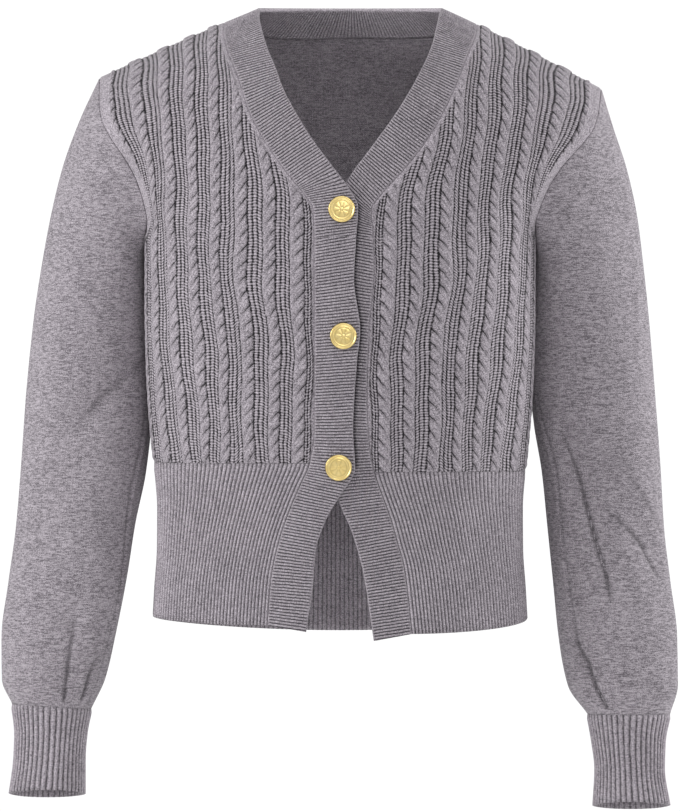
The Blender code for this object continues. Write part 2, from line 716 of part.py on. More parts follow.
def front_panel(name, front, material):
    side = front.side
    columns = knit_columns()
    levels = front_rows(front.hem, CROSSING / 2)
    wall = Wall()
    outer = []
    for row, level in enumerate(levels):
        turns = np.array(panel_row(front, level, [place for place, _ in columns]))
        height = np.array([lobe_height(kind, row) for _, kind in columns])
        height[turns == turns[-1]] = 0.0
        if row in (0, len(levels) - 1):
            height[:] = 0.0
        points = body(turns, level) + body_normal(turns, level) * height[:, None]
        if level > 0:
            points[0] = armhole_chord(side, False, level)
        outer.append(points)
    low = np.linspace(levels[0], 0, FRONT_INNER_LOW_ROWS + 1)[:-1]
    inner = []
    for level in np.minimum(np.concatenate([low, armhole_levels(False)]), levels[-1]):
        turns = np.array(panel_row(front, level, FRONT_INNER_COLUMNS, INNER_INSET))
        normal = edge_normals(side, front.cuts, turns, level, False)
        inner.append(body(turns, level) - normal * PANEL_WALL)
    rim(wall, wall.skin(outer), wall.skin(inner))
    return build_object(name, wall, material)


def edge_normals(side, cuts, turns, level, at_back):
    """Wall directions of a body row, its armhole end taking the armhole's mitre."""
    normal = body_normal(turns, level)
    if level > 0:
        levels, _, share = armhole_curve(side, at_back)
        along = float(np.interp(level, levels[::-1], share[::-1])) * 180
        around = 360 - along if at_back else along
        normal[0] = armhole_mitre(side, cuts, np.array([around]))[0]
    return normal


# Back panel


def neck_level(share):
    """Level of the back neck's seam at a share of its half width."""
    return 1 - RIDGE_GAP - NECK_DIP * np.sqrt(np.clip(1 - share**2, 0, 1))


def neck_turn():
    """Turn from the middle of the back to the neck seam's end on the ridge."""
    ratio = NECK_SEAM_X / float(read(YOKE, "half_width", 1.0))
    return math.degrees(math.asin(ratio ** (ROUNDING / 2)))


def neck_shares():
    """Columns along the back neck's seam, from the viewer's left to right, as shares of its half width."""
    return np.sin(np.radians(np.linspace(-90, 90, NECK_COLUMNS + 1)))


def back_columns(side_count):
    """Columns of the back from the viewer's right to left, as shares: 1 to 2 beyond the neck, -1 to 1 in it."""
    outside = np.linspace(2, 1, side_count + 1)
    return np.concatenate([outside[:-1], neck_shares()[::-1], -outside[::-1][1:]])


def back_turns(shares, level):
    """Turns of the back's columns on a level."""
    corner = neck_turn()
    edge = 180 - armhole_turn(1, np.array(level), True)
    if level < 0:
        edge = edge - math.degrees(SEAM_GAP / 2 / float(read(BODY, "back_depth", UNDERARM_Z + level)))
    beyond = np.clip(np.abs(shares) - 1, 0, 1)
    inside = np.clip(np.abs(shares), 0, 1)
    return 180 - np.sign(shares) * (corner * inside + (edge - corner) * beyond)


def back_rows(shares, low_levels, high_steps):
    """Turns and levels of the back's rows: level rows below the underarm, then shares of the way up."""
    rows = [(back_turns(shares, level), np.full(len(shares), level)) for level in low_levels]
    inside = np.clip(np.abs(shares), 0, 1)
    top = np.where(np.abs(shares) < 1, neck_level(inside), 1 - RIDGE_GAP)
    for step in high_steps:
        level = step * (1 - RIDGE_GAP - (1 - RIDGE_GAP - top) * step**2)
        turns = np.array([float(back_turns(shares[i : i + 1], level[i])[0]) for i in range(len(shares))])
        rows.append((turns, level))
    return rows


def back_panel(material):
    wall = Wall()
    low = HEM_BACK.top + SEAM_GAP / 2 - UNDERARM_Z
    inset = math.degrees(INNER_INSET / float(read(BODY, "back_depth", UNDERARM_Z)))

    def grid(side_count, low_count, inward):
        shares = back_columns(side_count)
        low_levels = np.linspace(low, 0, low_count + 1)[:-1]
        rows = []
        for turns, levels in back_rows(shares, low_levels, armhole_levels(True)):
            normal = body_normal(turns, levels)
            if inward and levels[0] > 0:
                normal[0] = edge_normals(1, SLEEVE_LEFT, turns[:1], levels[0], True)[0]
                normal[-1] = edge_normals(-1, SLEEVE_RIGHT, turns[-1:], levels[-1], True)[0]
                turns[0] += inset
                turns[-1] -= inset
            rows.append(body(turns, levels) - normal * inward)
        return rows

    rim(wall, wall.skin(grid(*BACK_OUTER_GRID, 0.0)), wall.skin(grid(*BACK_INNER_GRID, PANEL_WALL)))
    return build_object("back_panel", wall, material)


# Hems


def rib_wall(name, grid, ribs, material):
    """A ribbed wall: grid(shares, height) gives the points of its rows, height standing out of the wall."""
    columns = 2 * ribs
    wall = Wall()
    shares = np.linspace(0, 1, columns + 1)
    height = np.where(np.arange(columns + 1) % 2 == 1, RIB_HEIGHT, 0.0)
    height[0] = height[-1] = 0.0
    coarse = np.linspace(0, 1, max(INNER_COLUMNS_LEAST, ribs // RIBS_PER_INNER_COLUMN) + 1)
    rim(wall, wall.skin(grid(shares, height)), wall.skin(grid(coarse, -HEM_WALL)))
    return build_object(name, wall, material)


def hem_front(name, front, material):
    side = front.side

    def grid(shares, height):
        rows = np.array([hem_heights(front.hem, share) for share in shares]).T
        rows[0] -= SEAM_GAP / 2
        placed = []
        for z in rows:
            turns = []
            for share, one_z in zip(shares, z):
                level = one_z - UNDERARM_Z
                edge = side * (90 - math.degrees(SEAM_GAP / 2 / read(BODY, "front_depth", one_z)))
                seam = seam_turn(front, level)
                seam += side * math.degrees(SEAM_GAP / 2 / read(BODY, "half_width", one_z))
                turns.append(float(even_turns(edge, seam, level, share)))
            levels = z - UNDERARM_Z
            placed.append(body(turns, levels) + body_normal(turns, levels) * np.reshape(height, (-1, 1)))
        return placed

    return rib_wall(name, grid, FRONT_HEM_RIBS, material)


def hem_back(material):
    def grid(shares, height):
        placed = []
        rows = np.array([hem_heights(HEM_BACK, 1 - abs(2 * share - 1)) for share in shares]).T
        rows[0] -= SEAM_GAP / 2
        for z in rows:
            turns = []
            for share, one_z in zip(shares, z):
                inset = math.degrees(SEAM_GAP / 2 / read(BODY, "back_depth", one_z))
                turns.append(float(even_turns(90 + inset, 270 - inset, one_z - UNDERARM_Z, share)))
            levels = z - UNDERARM_Z
            placed.append(body(turns, levels) + body_normal(turns, levels) * np.reshape(height, (-1, 1)))
        return placed

    return rib_wall("hem_back", grid, BACK_HEM_RIBS, material)


# Bands


def band_points(front, seam_z, across, sink):
    """Points of a front band at seam heights and shares across it, sunk by sink behind its face."""
    band = front.band
    seam_z, across = np.meshgrid(seam_z, across, indexing="ij")
    start_x = read(band, "seam_x", seam_z.ravel()) - front.side * SEAM_GAP / 2
    free_x, free_z = read(band, "free_x", seam_z.ravel()), read(band, "free_z", seam_z.ravel())
    share = across.ravel()
    x = start_x + (free_x - start_x) * share
    z = seam_z.ravel() + (free_z - seam_z.ravel()) * share
    turn, level = front_place(x, z)
    level = np.minimum(level, 1 - RIDGE_GAP)
    lift = front.lift * ease(share / BAND_STEP) * read(OVERLAP, "share", seam_z.ravel())
    points = body(turn, level) + body_normal(turn, level) * (lift - sink)[:, None]
    return points.reshape(seam_z.shape + (3,))


def hole_rows(front):
    """The row of each buttonhole's cell in a band's grid."""
    return [int(np.searchsorted(front.heights, centre)) - 1 for centre in front.holes]


def front_band(name, front, material):
    columns = np.array(BAND_COLUMNS, float)
    holes = {(row, BAND_COLUMNS.index(BUTTONHOLE_START)) for row in hole_rows(front)}
    wall = Wall()
    outer = wall.skin(band_points(front, front.heights, columns, 0.0), holes=holes)
    columns[0] += INNER_INSET / BAND_WIDTH
    inner = wall.skin(band_points(front, front.heights, columns, BAND_WALL), holes=holes)
    rim(wall, outer, inner)
    for row, left in holes:
        loops = []
        for grid in (outer, inner):
            loop = [grid[row][left], grid[row][left + 1], grid[row + 1][left + 1], grid[row + 1][left]]
            loops.append(loop + loop[:1])
        wall.join(*loops)
    return build_object(name, wall, material)


def neckband_points(share, across):
    """Points of the band round the back of the neck: share -1 to 1 from left to right, across 0 to 1 up."""
    turn = 180 - np.sign(share) * neck_turn() * np.abs(share)
    seam = body(turn, neck_level(share) + RIDGE_GAP)
    depth = np.sqrt(np.clip(1 - share**2, 0, 1))
    free = np.stack(
        [
            LEAN + NECK_FREE_X * share,
            RIDGE_Y + NECK_FREE_DEPTH * depth,
            NECK_FREE_Z + NECK_FREE_RISE * depth,
        ],
        axis=-1,
    )
    start = SEAM_GAP / 2 / BAND_WIDTH
    return seam + (free - seam) * (start + (1 - start) * across)


def neckband(material):
    wall = Wall()
    share = neck_shares()
    grid = np.array([neckband_points(share, across) for across in NECKBAND_ROWS])
    along = np.gradient(grid, axis=1)
    up = np.gradient(grid, axis=0)
    normal = unit(np.cross(up, along))
    normal[0] = body_normal(180 - neck_turn() * share, neck_level(share))
    for end, inward in ((0, 1), (-1, -1)):
        grid[:, end, 1] += SEAM_GAP / 2
        normal[1:, end] = normal[1:, end + inward]
    rim(wall, wall.skin(grid), wall.skin(grid - normal * BAND_WALL))
    return build_object("neckband_back", wall, material)


# Sleeves and cuffs


def sleeve(name, side, cuts, folds, material):
    surface = sleeve_surface(side, cuts, folds)
    wall = Wall()

    def grid(row_count, inward):
        along = np.linspace(0, 1, row_count + 1) ** SLEEVE_CROWDING
        around = np.linspace(0, 360, SLEEVE_COLUMNS, endpoint=False)
        points = surface(along, around)
        if inward:
            normal = -side * tube_normal(surface, along, around)
            normal[0] = armhole_mitre(side, cuts, around)
            points = points - normal * inward
            points[0, :, 0] += side * INNER_INSET
        return points

    outer = wall.skin(grid(SLEEVE_ROWS, 0.0), closed=True)
    inner = wall.skin(grid(SLEEVE_ROWS_INNER, SLEEVE_WALL), closed=True)
    for end in (0, -1):
        wall.join(outer[end] + outer[end][:1], inner[end] + inner[end][:1])
    return build_object(name, wall, material)


def cuff(name, side, cuts, material):
    surface = cuff_surface(side, cuts)
    wall = Wall()
    columns = 2 * CUFF_RIBS

    def grid(row_count, column_count, height):
        along = np.linspace(0, 1, row_count + 1)
        around = np.linspace(0, 360, column_count, endpoint=False)
        normal = -side * tube_normal(surface, along, around)
        return surface(along, around) + normal * np.reshape(height, (1, -1, 1))

    ribs = np.where(np.arange(columns) % 2 == 1, RIB_HEIGHT, 0.0)
    outer = wall.skin(grid(CUFF_ROWS, columns, ribs), closed=True)
    inner = wall.skin(grid(CUFF_ROWS, CUFF_COLUMNS_INNER, -CUFF_WALL), closed=True)
    for end in (0, -1):
        wall.join(outer[end] + outer[end][:1], inner[end] + inner[end][:1])
    return build_object(name, wall, material)


# Buttons


def button(name, front, row, material):
    """A domed round button whose shank runs back through its buttonhole."""
    height = (front.heights[row] + front.heights[row + 1]) / 2
    share = (BUTTONHOLE_START + BUTTONHOLE_END) / 2
    seat = band_points(front, [height], [share], 0.0)[0, 0]
    axis = -body_normal(*front_place(seat[0], seat[2]))
    right = unit(np.cross(axis, [0.0, 0.0, 1.0]))
    up = np.cross(right, axis)
    reach = BAND_WALL + BUTTON_REACH
    top = BUTTON_BACK + BUTTON_THICKNESS
    profile = [
        (SHANK_RADIUS, -reach),
        (SHANK_RADIUS, BUTTON_BACK),
        (BUTTON_RADIUS - BUTTON_EDGE, BUTTON_BACK),
        (BUTTON_RADIUS, BUTTON_BACK + BUTTON_EDGE / 2),
        (BUTTON_RADIUS, top - BUTTON_EDGE / 2),
        (BUTTON_RADIUS - BUTTON_EDGE, top),
        (BUTTON_RADIUS - 2 * BUTTON_EDGE, top - BUTTON_DISH),
    ]
    angles = np.linspace(0, 2 * math.pi, BUTTON_SIDES, endpoint=False)[:, None]
    spokes = right * np.cos(angles) + up * np.sin(angles)
    wall = Wall()
    grid = wall.skin([seat - axis * out + spokes * radius for radius, out in profile], closed=True)
    for ring, out in ((grid[0], -reach), (grid[-1], top)):
        wall.points.append(seat - axis * out)
        centre = len(wall.points) - 1
        for place, index in enumerate(ring):
            wall.faces.append([index, ring[(place + 1) % len(ring)], centre])
    return build_object(name, wall, material)


def main():
    for placed in list(bpy.data.objects):
        bpy.data.objects.remove(placed)
    knit = make_material("knit", (0.23, 0.225, 0.245), 0.95)
    rib = make_material("rib", (0.21, 0.205, 0.225), 0.95)
    gold = make_material("gold", (0.83, 0.66, 0.25), 0.28, 1.0)

    right_heights = band_heights(TOP_BAND, HEM_RIGHT, BUTTON_HEIGHTS)
    left_heights = band_heights(UNDER_BAND, HEM_LEFT, ())
    right = Front(-1, TOP_BAND, HEM_RIGHT, SLEEVE_RIGHT, BAND_LIFT, right_heights, BUTTON_HEIGHTS)
    left = Front(1, UNDER_BAND, HEM_LEFT, SLEEVE_LEFT, -BAND_SINK, left_heights, ())
    for side_name, front in (("right", right), ("left", left)):
        front_panel(f"front_{side_name}_panel", front, knit)
        hem_front(f"hem_front_{side_name}", front, rib)
        front_band(f"band_front_{side_name}", front, rib)
    back_panel(knit)
    hem_back(rib)
    neckband(rib)
    sleeve("sleeve_right", -1, SLEEVE_RIGHT, FOLDS_RIGHT, knit)
    sleeve("sleeve_left", 1, SLEEVE_LEFT, FOLDS_LEFT, knit)
    cuff("cuff_right", -1, CUFF_RIGHT, rib)
    cuff("cuff_left", 1, CUFF_LEFT, rib)
    for number, row in enumerate(hole_rows(right), start=1):
        button(f"button_{number}", right, row, gold)


if __name__ == "__main__":
    main()
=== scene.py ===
"""Dressed model of a cropped V-neck cardigan in heather grey cable knit with gold shank buttons.

Metres in the scene and millimetres in the tables and working values. +X is to the viewer's right, -Y is
toward the viewer, and "right" and "left" in the names are the wearer's.
"""
import json
import math
from collections import namedtuple

import bmesh
import bpy
import numpy as np
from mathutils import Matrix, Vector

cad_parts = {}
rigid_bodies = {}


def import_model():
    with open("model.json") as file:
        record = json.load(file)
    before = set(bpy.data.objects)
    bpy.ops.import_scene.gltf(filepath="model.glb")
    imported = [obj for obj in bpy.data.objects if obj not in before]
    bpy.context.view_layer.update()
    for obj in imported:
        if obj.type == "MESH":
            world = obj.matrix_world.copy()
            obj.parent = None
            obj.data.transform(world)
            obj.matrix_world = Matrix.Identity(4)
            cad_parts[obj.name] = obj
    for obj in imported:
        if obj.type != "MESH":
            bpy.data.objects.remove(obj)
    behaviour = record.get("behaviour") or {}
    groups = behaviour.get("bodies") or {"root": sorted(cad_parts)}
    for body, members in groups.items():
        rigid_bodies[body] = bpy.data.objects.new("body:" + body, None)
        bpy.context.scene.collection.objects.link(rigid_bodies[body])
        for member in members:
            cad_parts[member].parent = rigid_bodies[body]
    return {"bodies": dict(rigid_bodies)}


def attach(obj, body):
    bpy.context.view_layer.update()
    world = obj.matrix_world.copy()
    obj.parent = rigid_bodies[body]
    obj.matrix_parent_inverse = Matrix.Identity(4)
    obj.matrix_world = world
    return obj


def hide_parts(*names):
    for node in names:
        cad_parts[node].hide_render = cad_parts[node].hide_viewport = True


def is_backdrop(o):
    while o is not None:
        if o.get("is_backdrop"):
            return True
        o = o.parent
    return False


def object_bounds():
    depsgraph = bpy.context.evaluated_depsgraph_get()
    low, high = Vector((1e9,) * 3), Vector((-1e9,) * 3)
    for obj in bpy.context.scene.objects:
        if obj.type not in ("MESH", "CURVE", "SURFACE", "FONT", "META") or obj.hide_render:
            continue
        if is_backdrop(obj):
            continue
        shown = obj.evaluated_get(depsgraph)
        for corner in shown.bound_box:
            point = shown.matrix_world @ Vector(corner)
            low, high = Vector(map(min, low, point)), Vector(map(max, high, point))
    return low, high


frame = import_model()
CAD_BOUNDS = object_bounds()

bl_info = {
    "name": "Cable-knit cardigan",
    "version": (1, 0, 0),
    "blender": (4, 5, 0),
    "location": "3D View > Sidebar > Cardigan",
    "description": "Makes the pieces of a cropped cable-knit cardigan, their finishes and a plain stage",
    "category": "Object",
}

METRES = 0.001
MM = 1000.0
BODY_NAME = next(iter(frame["bodies"]))

# Heights, depths and shape of the body
UNDERARM_Z = -175.0
RIDGE_Y = 8.0  # the shoulder seams lie this far behind the side seams
LEAN = 8.0  # the shoulders hang this far to the viewer's right of the hem
ROUNDING = 2.2  # exponent of the body's rings, 2 being an ellipse
YOKE_ROUNDING = 2.2  # the same for the curve from underarm up over the shoulder
SHOULDER_SLOPE, SLOPE_DIFFERENCE, SLOPE_SPREAD = 0.51, 0.04, 80.0
NECK_HALF_WIDTH, NECK_ROUNDING = 76.0, 50.0

# Walls and seams
SEAM_GAP = 0.12
ARMHOLE_GAP = 0.6
RIDGE_GAP = 0.0003  # level by which a wall stops short of the shoulder's ridge
PANEL_WALL, BAND_WALL, HEM_WALL, SLEEVE_WALL, CUFF_WALL = 2.0, 2.2, 2.2, 1.8, 2.0
BAND_LIFT, BAND_SINK = 2.5, 1.5  # top band forward and under band back, where they overlap
BAND_STEP = 0.45  # share of a band's width over which it moves forward or back

# Knit relief
CROSSING = 11.2  # length of one twist of a cable
LADDER_COUNT = 8
FRONT_HEM_RIBS, BACK_HEM_RIBS, CUFF_RIBS = 40, 92, 44
HEM_EVENNESS = 0.6  # how far the hems' ribs are even as seen from the front, rather than along the cloth

# Buttons
BUTTON_RADIUS, BUTTON_THICKNESS, SHANK_RADIUS = 10.0, 2.4, 1.6
BUTTONHOLE_START, BUTTONHOLE_END, HOLE = 0.55, 0.72, 2.8
BUTTON_HEIGHTS = (-154.6, -248.9, -344.5)
BUTTON_BACK, BUTTON_REACH = 1.2, 0.8  # clearance in front of the top band and behind it
BAND_WIDTH = 30.0
# How far the bands' ribs rise toward the free edge, by height
RIB_SLANT = ((-345, 1.0), (-300, 2.0), (-245, 3.0), (-206, 4.5), (-177, 5.5), (-150, 2.0), (-130, 0.0))


def rows(kind, values):
    """A short table with named columns."""
    return [kind(*row) for row in values]


Ring = namedtuple("Ring", "z half_width front_depth back_depth")
BODY = rows(Ring, [
    (-485, 143.5, 99, 98),
    (-440, 141.0, 96, 94),
    (-410, 139.0, 93, 91),
    (-380, 138.8, 92, 90),
    (-345, 141.5, 96, 92),
    (-300, 145.5, 102, 96),
    (-250, 147.5, 105, 99),
    (-175, 148.0, 106, 100),
])

# Above the underarm, level runs from 0 there to 1 on the shoulder's ridge. The armhole columns are the
# turns in degrees from the middle of the front, and of the back, to the armhole seam.
Yoke = namedtuple("Yoke", "level half_width armhole_front armhole_back")
YOKE = rows(Yoke, [
    (0.00, 148.0, 90, 90),
    (0.03, 149.5, 80, 81),
    (0.06, 152.5, 75, 77),
    (0.18, 166.0, 70, 73),
    (0.29, 181.0, 68, 71),
    (0.39, 192.8, 68, 71),
    (0.49, 200.3, 68, 71),
    (0.62, 203.5, 68, 71),
    (1.00, 205.6, 68, 68),
])

# Ladder centres from the middle of the front, as seen from the front; drift moves all of them in +X.
# The ladder nearest the side lies halfway between the second and the panel's edge.
Wales = namedtuple("Wales", "z drift second third fourth fifth sixth seventh eighth")
WALES = rows(Wales, [
    (-342, 0.8, 123.1, 108.0, 94.5, 79.5, 59.3, 41.3, 25.5),
    (-267, 1.5, 131.9, 115.4, 96.7, 80.2, 60.0, 40.5, 24.5),
    (-207, 2.2, 135.6, 120.6, 103.7, 86.9, 65.2, 44.6, 26.5),
    (-147, 3.0, 138.6, 121.3, 105.2, 87.6, 66.7, 45.7, 28.5),
    (-87, 6.0, 145.7, 127.7, 108.9, 90.9, 74.4, 57.8, 42.1),
    (-40, 6.8, 151.1, 131.5, 111.8, 95.2, 79.3, 65.0, 51.4),
])

# The front bands as seen from the front, from the hem up to the shoulder's ridge: each row pairs a point
# of the seam to the panel with the point across from it on the band's free edge.
BandRow = namedtuple("BandRow", "seam_z seam_x free_x free_z")
TOP_BAND = rows(BandRow, [
    (-466.0, -54.4, -25.5, -471.0),
    (-432.7, -51.8, -20.3, -436.4),
    (-403.5, -45.8, -18.0, -409.5),
    (-379.4, -37.5, -9.8, -385.4),
    (-359.9, -29.3, 0.8, -367.4),
    (-344.1, -22.5, 11.3, -347.9),
    (-319.4, -19.1, 9.8, -320.1),
    (-267.6, -19.1, 12.7, -267.6),
    (-245.2, -19.1, 15.0, -245.2),
    (-206.2, -19.1, 10.5, -206.2),
    (-177.0, -19.1, 12.0, -177.0),
    (-153.1, -20.2, 13.5, -152.3),
    (-144.1, -25.5, 7.5, -139.6),
    (-135.8, -32.2, -6.0, -121.5),
    (-116.2, -47.2, -21.8, -99.6),
    (-97.3, -59.3, -33.8, -79.7),
    (-77.3, -69.2, -42.2, -63.5),
    (-52.5, -76.9, -49.1, -44.7),
    (-32.8, -84.7, -56.9, -24.6),
    (-17.2, -88.0, -62.0, -2.3),
    (-8.0, -88.0, -62.0, 3.5),
])
UNDER_BAND = rows(BandRow, [
    (-472.6, 54.0, 25.5, -477.7),
    (-422.2, 48.0, 18.0, -428.2),
    (-403.5, 42.8, 13.5, -410.2),
    (-387.0, 38.3, 7.5, -392.2),
    (-370.4, 32.3, 0.0, -375.7),
    (-353.2, 26.3, -4.5, -356.9),
    (-330.6, 21.8, -6.8, -332.9),
    (-296.9, 20.2, -8.2, -296.9),
    (-244.4, 21.7, -8.2, -244.4),
    (-199.5, 25.5, -5.2, -198.0),
    (-172.5, 24.7, -5.2, -171.1),
    (-154.6, 23.2, 2.2, -138.1),
    (-144.8, 29.2, 9.0, -126.8),
    (-123.7, 48.0, 24.7, -105.6),
    (-96.5, 68.3, 43.6, -78.9),
    (-65.8, 84.3, 58.8, -52.5),
    (-36.0, 96.0, 69.7, -27.9),
    (-15.6, 103.5, 77.0, 1.0),
    (-8.0, 104.0, 78.0, 3.5),
])

# One front: side is -1 at the viewer's left, lift takes its band forward of the other, and heights are
# the rows of its band's grid.
Front = namedtuple("Front", "side band hem lift heights")

# How far the bands have parted from each other's plane, 1 where one lies on the other
Overlap = namedtuple("Overlap", "seam_z share")
OVERLAP = rows(Overlap, [
    (-470, 0.3),
    (-400, 0.9),
    (-385, 1.0),
    (-137, 1.0),
    (-116, 0.3),
    (-97, 0.0),
])

# Hem ribs: height of the seam above them, and of the free edge at the side and at the middle
Hem = namedtuple("Hem", "top side_bottom middle_bottom")
HEM_RIGHT = Hem(-344.5, -460.5, -466.0)
HEM_LEFT = Hem(-351.0, -463.0, -472.6)
HEM_BACK = Hem(-347.0, -462.0, -476.0)

# Back neck: the seam dips this far in level below the ridge, and the neckband stands in from it
NECK_SEAM_X, NECK_FREE_X = 96.0, 70.0
NECK_DIP = 0.41
NECK_FREE_DEPTH, NECK_FREE_Z, NECK_FREE_RISE = 43.0, 3.0, 2.5

# Sleeve rings below the armhole: the outer and the inner edge as seen from the front, both as distances
# from the middle, then the ring's middle in depth and its half depth.
Cut = namedtuple("Cut", "outer_x outer_z inner_x inner_z middle_y half_depth")
SLEEVE_RIGHT = rows(Cut, [
    (199.7, -82.6, 149.4, -190.0, 14, 46.0),
    (213.4, -119.3, 148.4, -205.0, 22, 47.0),
    (222.6, -156.0, 146.8, -222.0, 29, 47.0),
    (229.5, -192.0, 145.2, -243.0, 34, 46.5),
    (236.0, -235.0, 144.0, -268.0, 35, 45.0),
    (241.7, -293.8, 145.0, -312.0, 30, 42.0),
    (245.2, -349.0, 149.0, -352.0, 22, 39.0),
    (248.6, -394.7, 156.8, -391.0, 12, 36.0),
    (253.8, -436.0, 163.0, -432.0, 2, 33.0),
    (258.6, -477.0, 171.0, -474.0, -6, 30.0),
    (258.0, -510.0, 179.0, -509.0, -12, 28.0),
    (250.2, -528.0, 189.6, -532.0, -15, 24.0),
])
CUFF_RIGHT = rows(Cut, [
    (250.1, -528.1, 189.7, -532.1, -15, 23.9),
    (247.5, -551.0, 193.5, -551.0, -15, 22.0),
    (248.2, -570.0, 195.0, -570.0, -15, 21.5),
    (251.7, -597.0, 195.0, -597.0, -15, 22.5),
])
SLEEVE_LEFT = rows(Cut, [
    (210.3, -90.0, 149.4, -194.0, 14, 46.0),
    (220.3, -119.3, 148.4, -208.0, 22, 47.0),
    (228.7, -156.0, 146.8, -225.0, 29, 47.0),
    (233.5, -192.0, 145.4, -246.0, 34, 46.5),
    (238.0, -235.0, 145.0, -270.0, 34, 45.0),
    (242.7, -295.0, 149.0, -314.0, 30, 42.0),
    (246.3, -349.0, 155.0, -352.0, 22, 39.0),
    (248.5, -394.7, 159.0, -394.0, 12, 36.0),
    (252.9, -436.0, 163.0, -436.0, 2, 33.0),
    (257.6, -477.0, 167.0, -478.0, -6, 30.0),
    (257.9, -514.0, 174.0, -515.0, -12, 28.0),
    (251.8, -536.0, 188.6, -536.0, -15, 24.0),
])
CUFF_LEFT = rows(Cut, [
    (251.7, -536.1, 188.7, -536.1, -15, 23.9),
    (247.5, -557.0, 192.5, -557.0, -15, 22.0),
    (246.8, -578.0, 195.0, -578.0, -15, 21.5),
    (251.0, -606.0, 193.5, -606.0, -15, 23.0),
])
SLEEVE_ROUNDING = 2.15

# The largest folds of the sleeves, each a soft trough between two places: along is the share of the way
# down, around the angle from the outer edge over the front, and sizes are in millimetres.
Fold = namedtuple("Fold", "along around end_along end_around half_width depth")
FOLDS_RIGHT = rows(Fold, [
    (0.36, 132, 0.50, 78, 13, 2.6),
    (0.80, 104, 1.00, 106, 12, 2.2),
    (0.50, 300, 0.60, 236, 14, 3.0),
    (0.68, 232, 0.64, 296, 14, 2.6),
    (0.86, 262, 1.00, 258, 12, 2.2),
])
FOLDS_LEFT = rows(Fold, [
    (0.48, 121, 0.72, 97, 13, 3.2),
    (0.56, 88, 0.72, 42, 14, 2.6),
    (0.82, 138, 1.00, 116, 12, 2.4),
    (0.50, 298, 0.62, 238, 14, 3.0),
    (0.72, 236, 0.67, 300, 14, 2.6),
    (0.85, 270, 1.00, 264, 12, 2.2),
])
SLEEVE_LENGTH, SLEEVE_GIRTH = 440.0, 290.0  # mean sizes that the folds are laid out on
FOLD_FADE = 0.05  # share of the length over which folds fade out above the cuff
CUFF_LENGTH = 70.0
CUFF_TILT = 4.0  # a cuff's back edge hangs lower than its middle by this, its front edge higher

ROW_TURN = 35.0  # a front's rows are evenly spaced along this turn
OVERSHOOT = 5.0  # the last wale runs on this far behind the band

# Knitting: places are counted in ladders from a front's edge, sizes are in millimetres
LADDER_REACH, LAST_LADDER_REACH = 0.26, 0.13  # half widths of a ladder of purl stitches, in places
# The lines beside purl wales and the strokes where strands cross are darkened with painted shade
LINE_WIDTH = 0.05  # of the dark lines beside purl wales, in places
STROKE_RISE, STROKE_BEND, STROKE_WIDTH = 0.58, 0.10, 1.3  # of the dark strokes where a cable's strands cross
CABLE_SHIFT, LADDER_SWAY = 2.2, 0.028  # unevenness of the cables' twists, and of the ladders in places
STITCHES_A_PLACE = 8.0  # plain wales from one ladder to the next
ARMHOLE_MARGIN, SIDE_MARGIN, NECK_MARGIN = 9.0, 1.5, 2.6  # plain knitting beside the seams
BAND_RIB = 2.3
# EDGE_SHADE is the reach of a painted shadow
EDGE_SHADE = 1.7  # reach of the shade beside the top band's free edge
RIB_STITCH = 3.4

# Yarn: spots to the metre, contrasts, and the colour of the deepest painted shade between stitches
BEND_SPOTS, BROKEN_SPOTS, FUZZ_SPOTS = 170.0, 520.0, 1600.0
STREAK_STRETCH, STREAK_CONTRAST, CLOUD_CONTRAST = (0.2, 0.2, 1.0), 1.8, 0.35
DEEP_SHADE = (0.014, 0.012, 0.015, 1.0)

# Stage
FLOOR_REACH = 4.0
SEEN_ROOM = 1.05  # brightness of the room where the camera sees it

# Rows and columns of the fine grids
FRONT_STEP, FRONT_COLUMNS = 0.95, 196
INNER_EVERY = 8
RIB_COLUMNS, HEM_STEPS = 8, 24
INNER_RIB_EVERY = 2
BAND_ACROSS, BAND_STEP_LENGTH = 20, 0.42
SLEEVE_STEPS, SLEEVE_AROUND = 225, 168
INNER_SLEEVE_ROWS, INNER_SLEEVE_COLUMNS = 5, 4
CUFF_RIB_COLUMNS, CUFF_STEPS = 8, 20
BUTTON_SIDES = 96
NECKBAND_STEPS = 681
NECKBAND_ROWS = 13
DOME_STEPS = 26

# Cut sizes of the cloth that shows: width and length in millimetres, and the area in square metres
Flat = namedtuple("Flat", "size area")
FLAT_FRONT_RIGHT = Flat((195, 414), 0.0577)
FLAT_FRONT_LEFT = Flat((191, 426), 0.0583)
FLAT_BACK = Flat((396, 378), 0.1346)
FLAT_NECKBAND = Flat((251, 31), 0.0060)
FLAT_SLEEVE = Flat((338, 494), 0.1150)
FLAT_HEM_FRONT = Flat((169, 127), 0.0176)
FLAT_HEM_BACK = Flat((391, 129), 0.0470)
FLAT_CUFF = Flat((176, 73), 0.0109)
FLAT_BAND = Flat((35, 563), 0.0166)

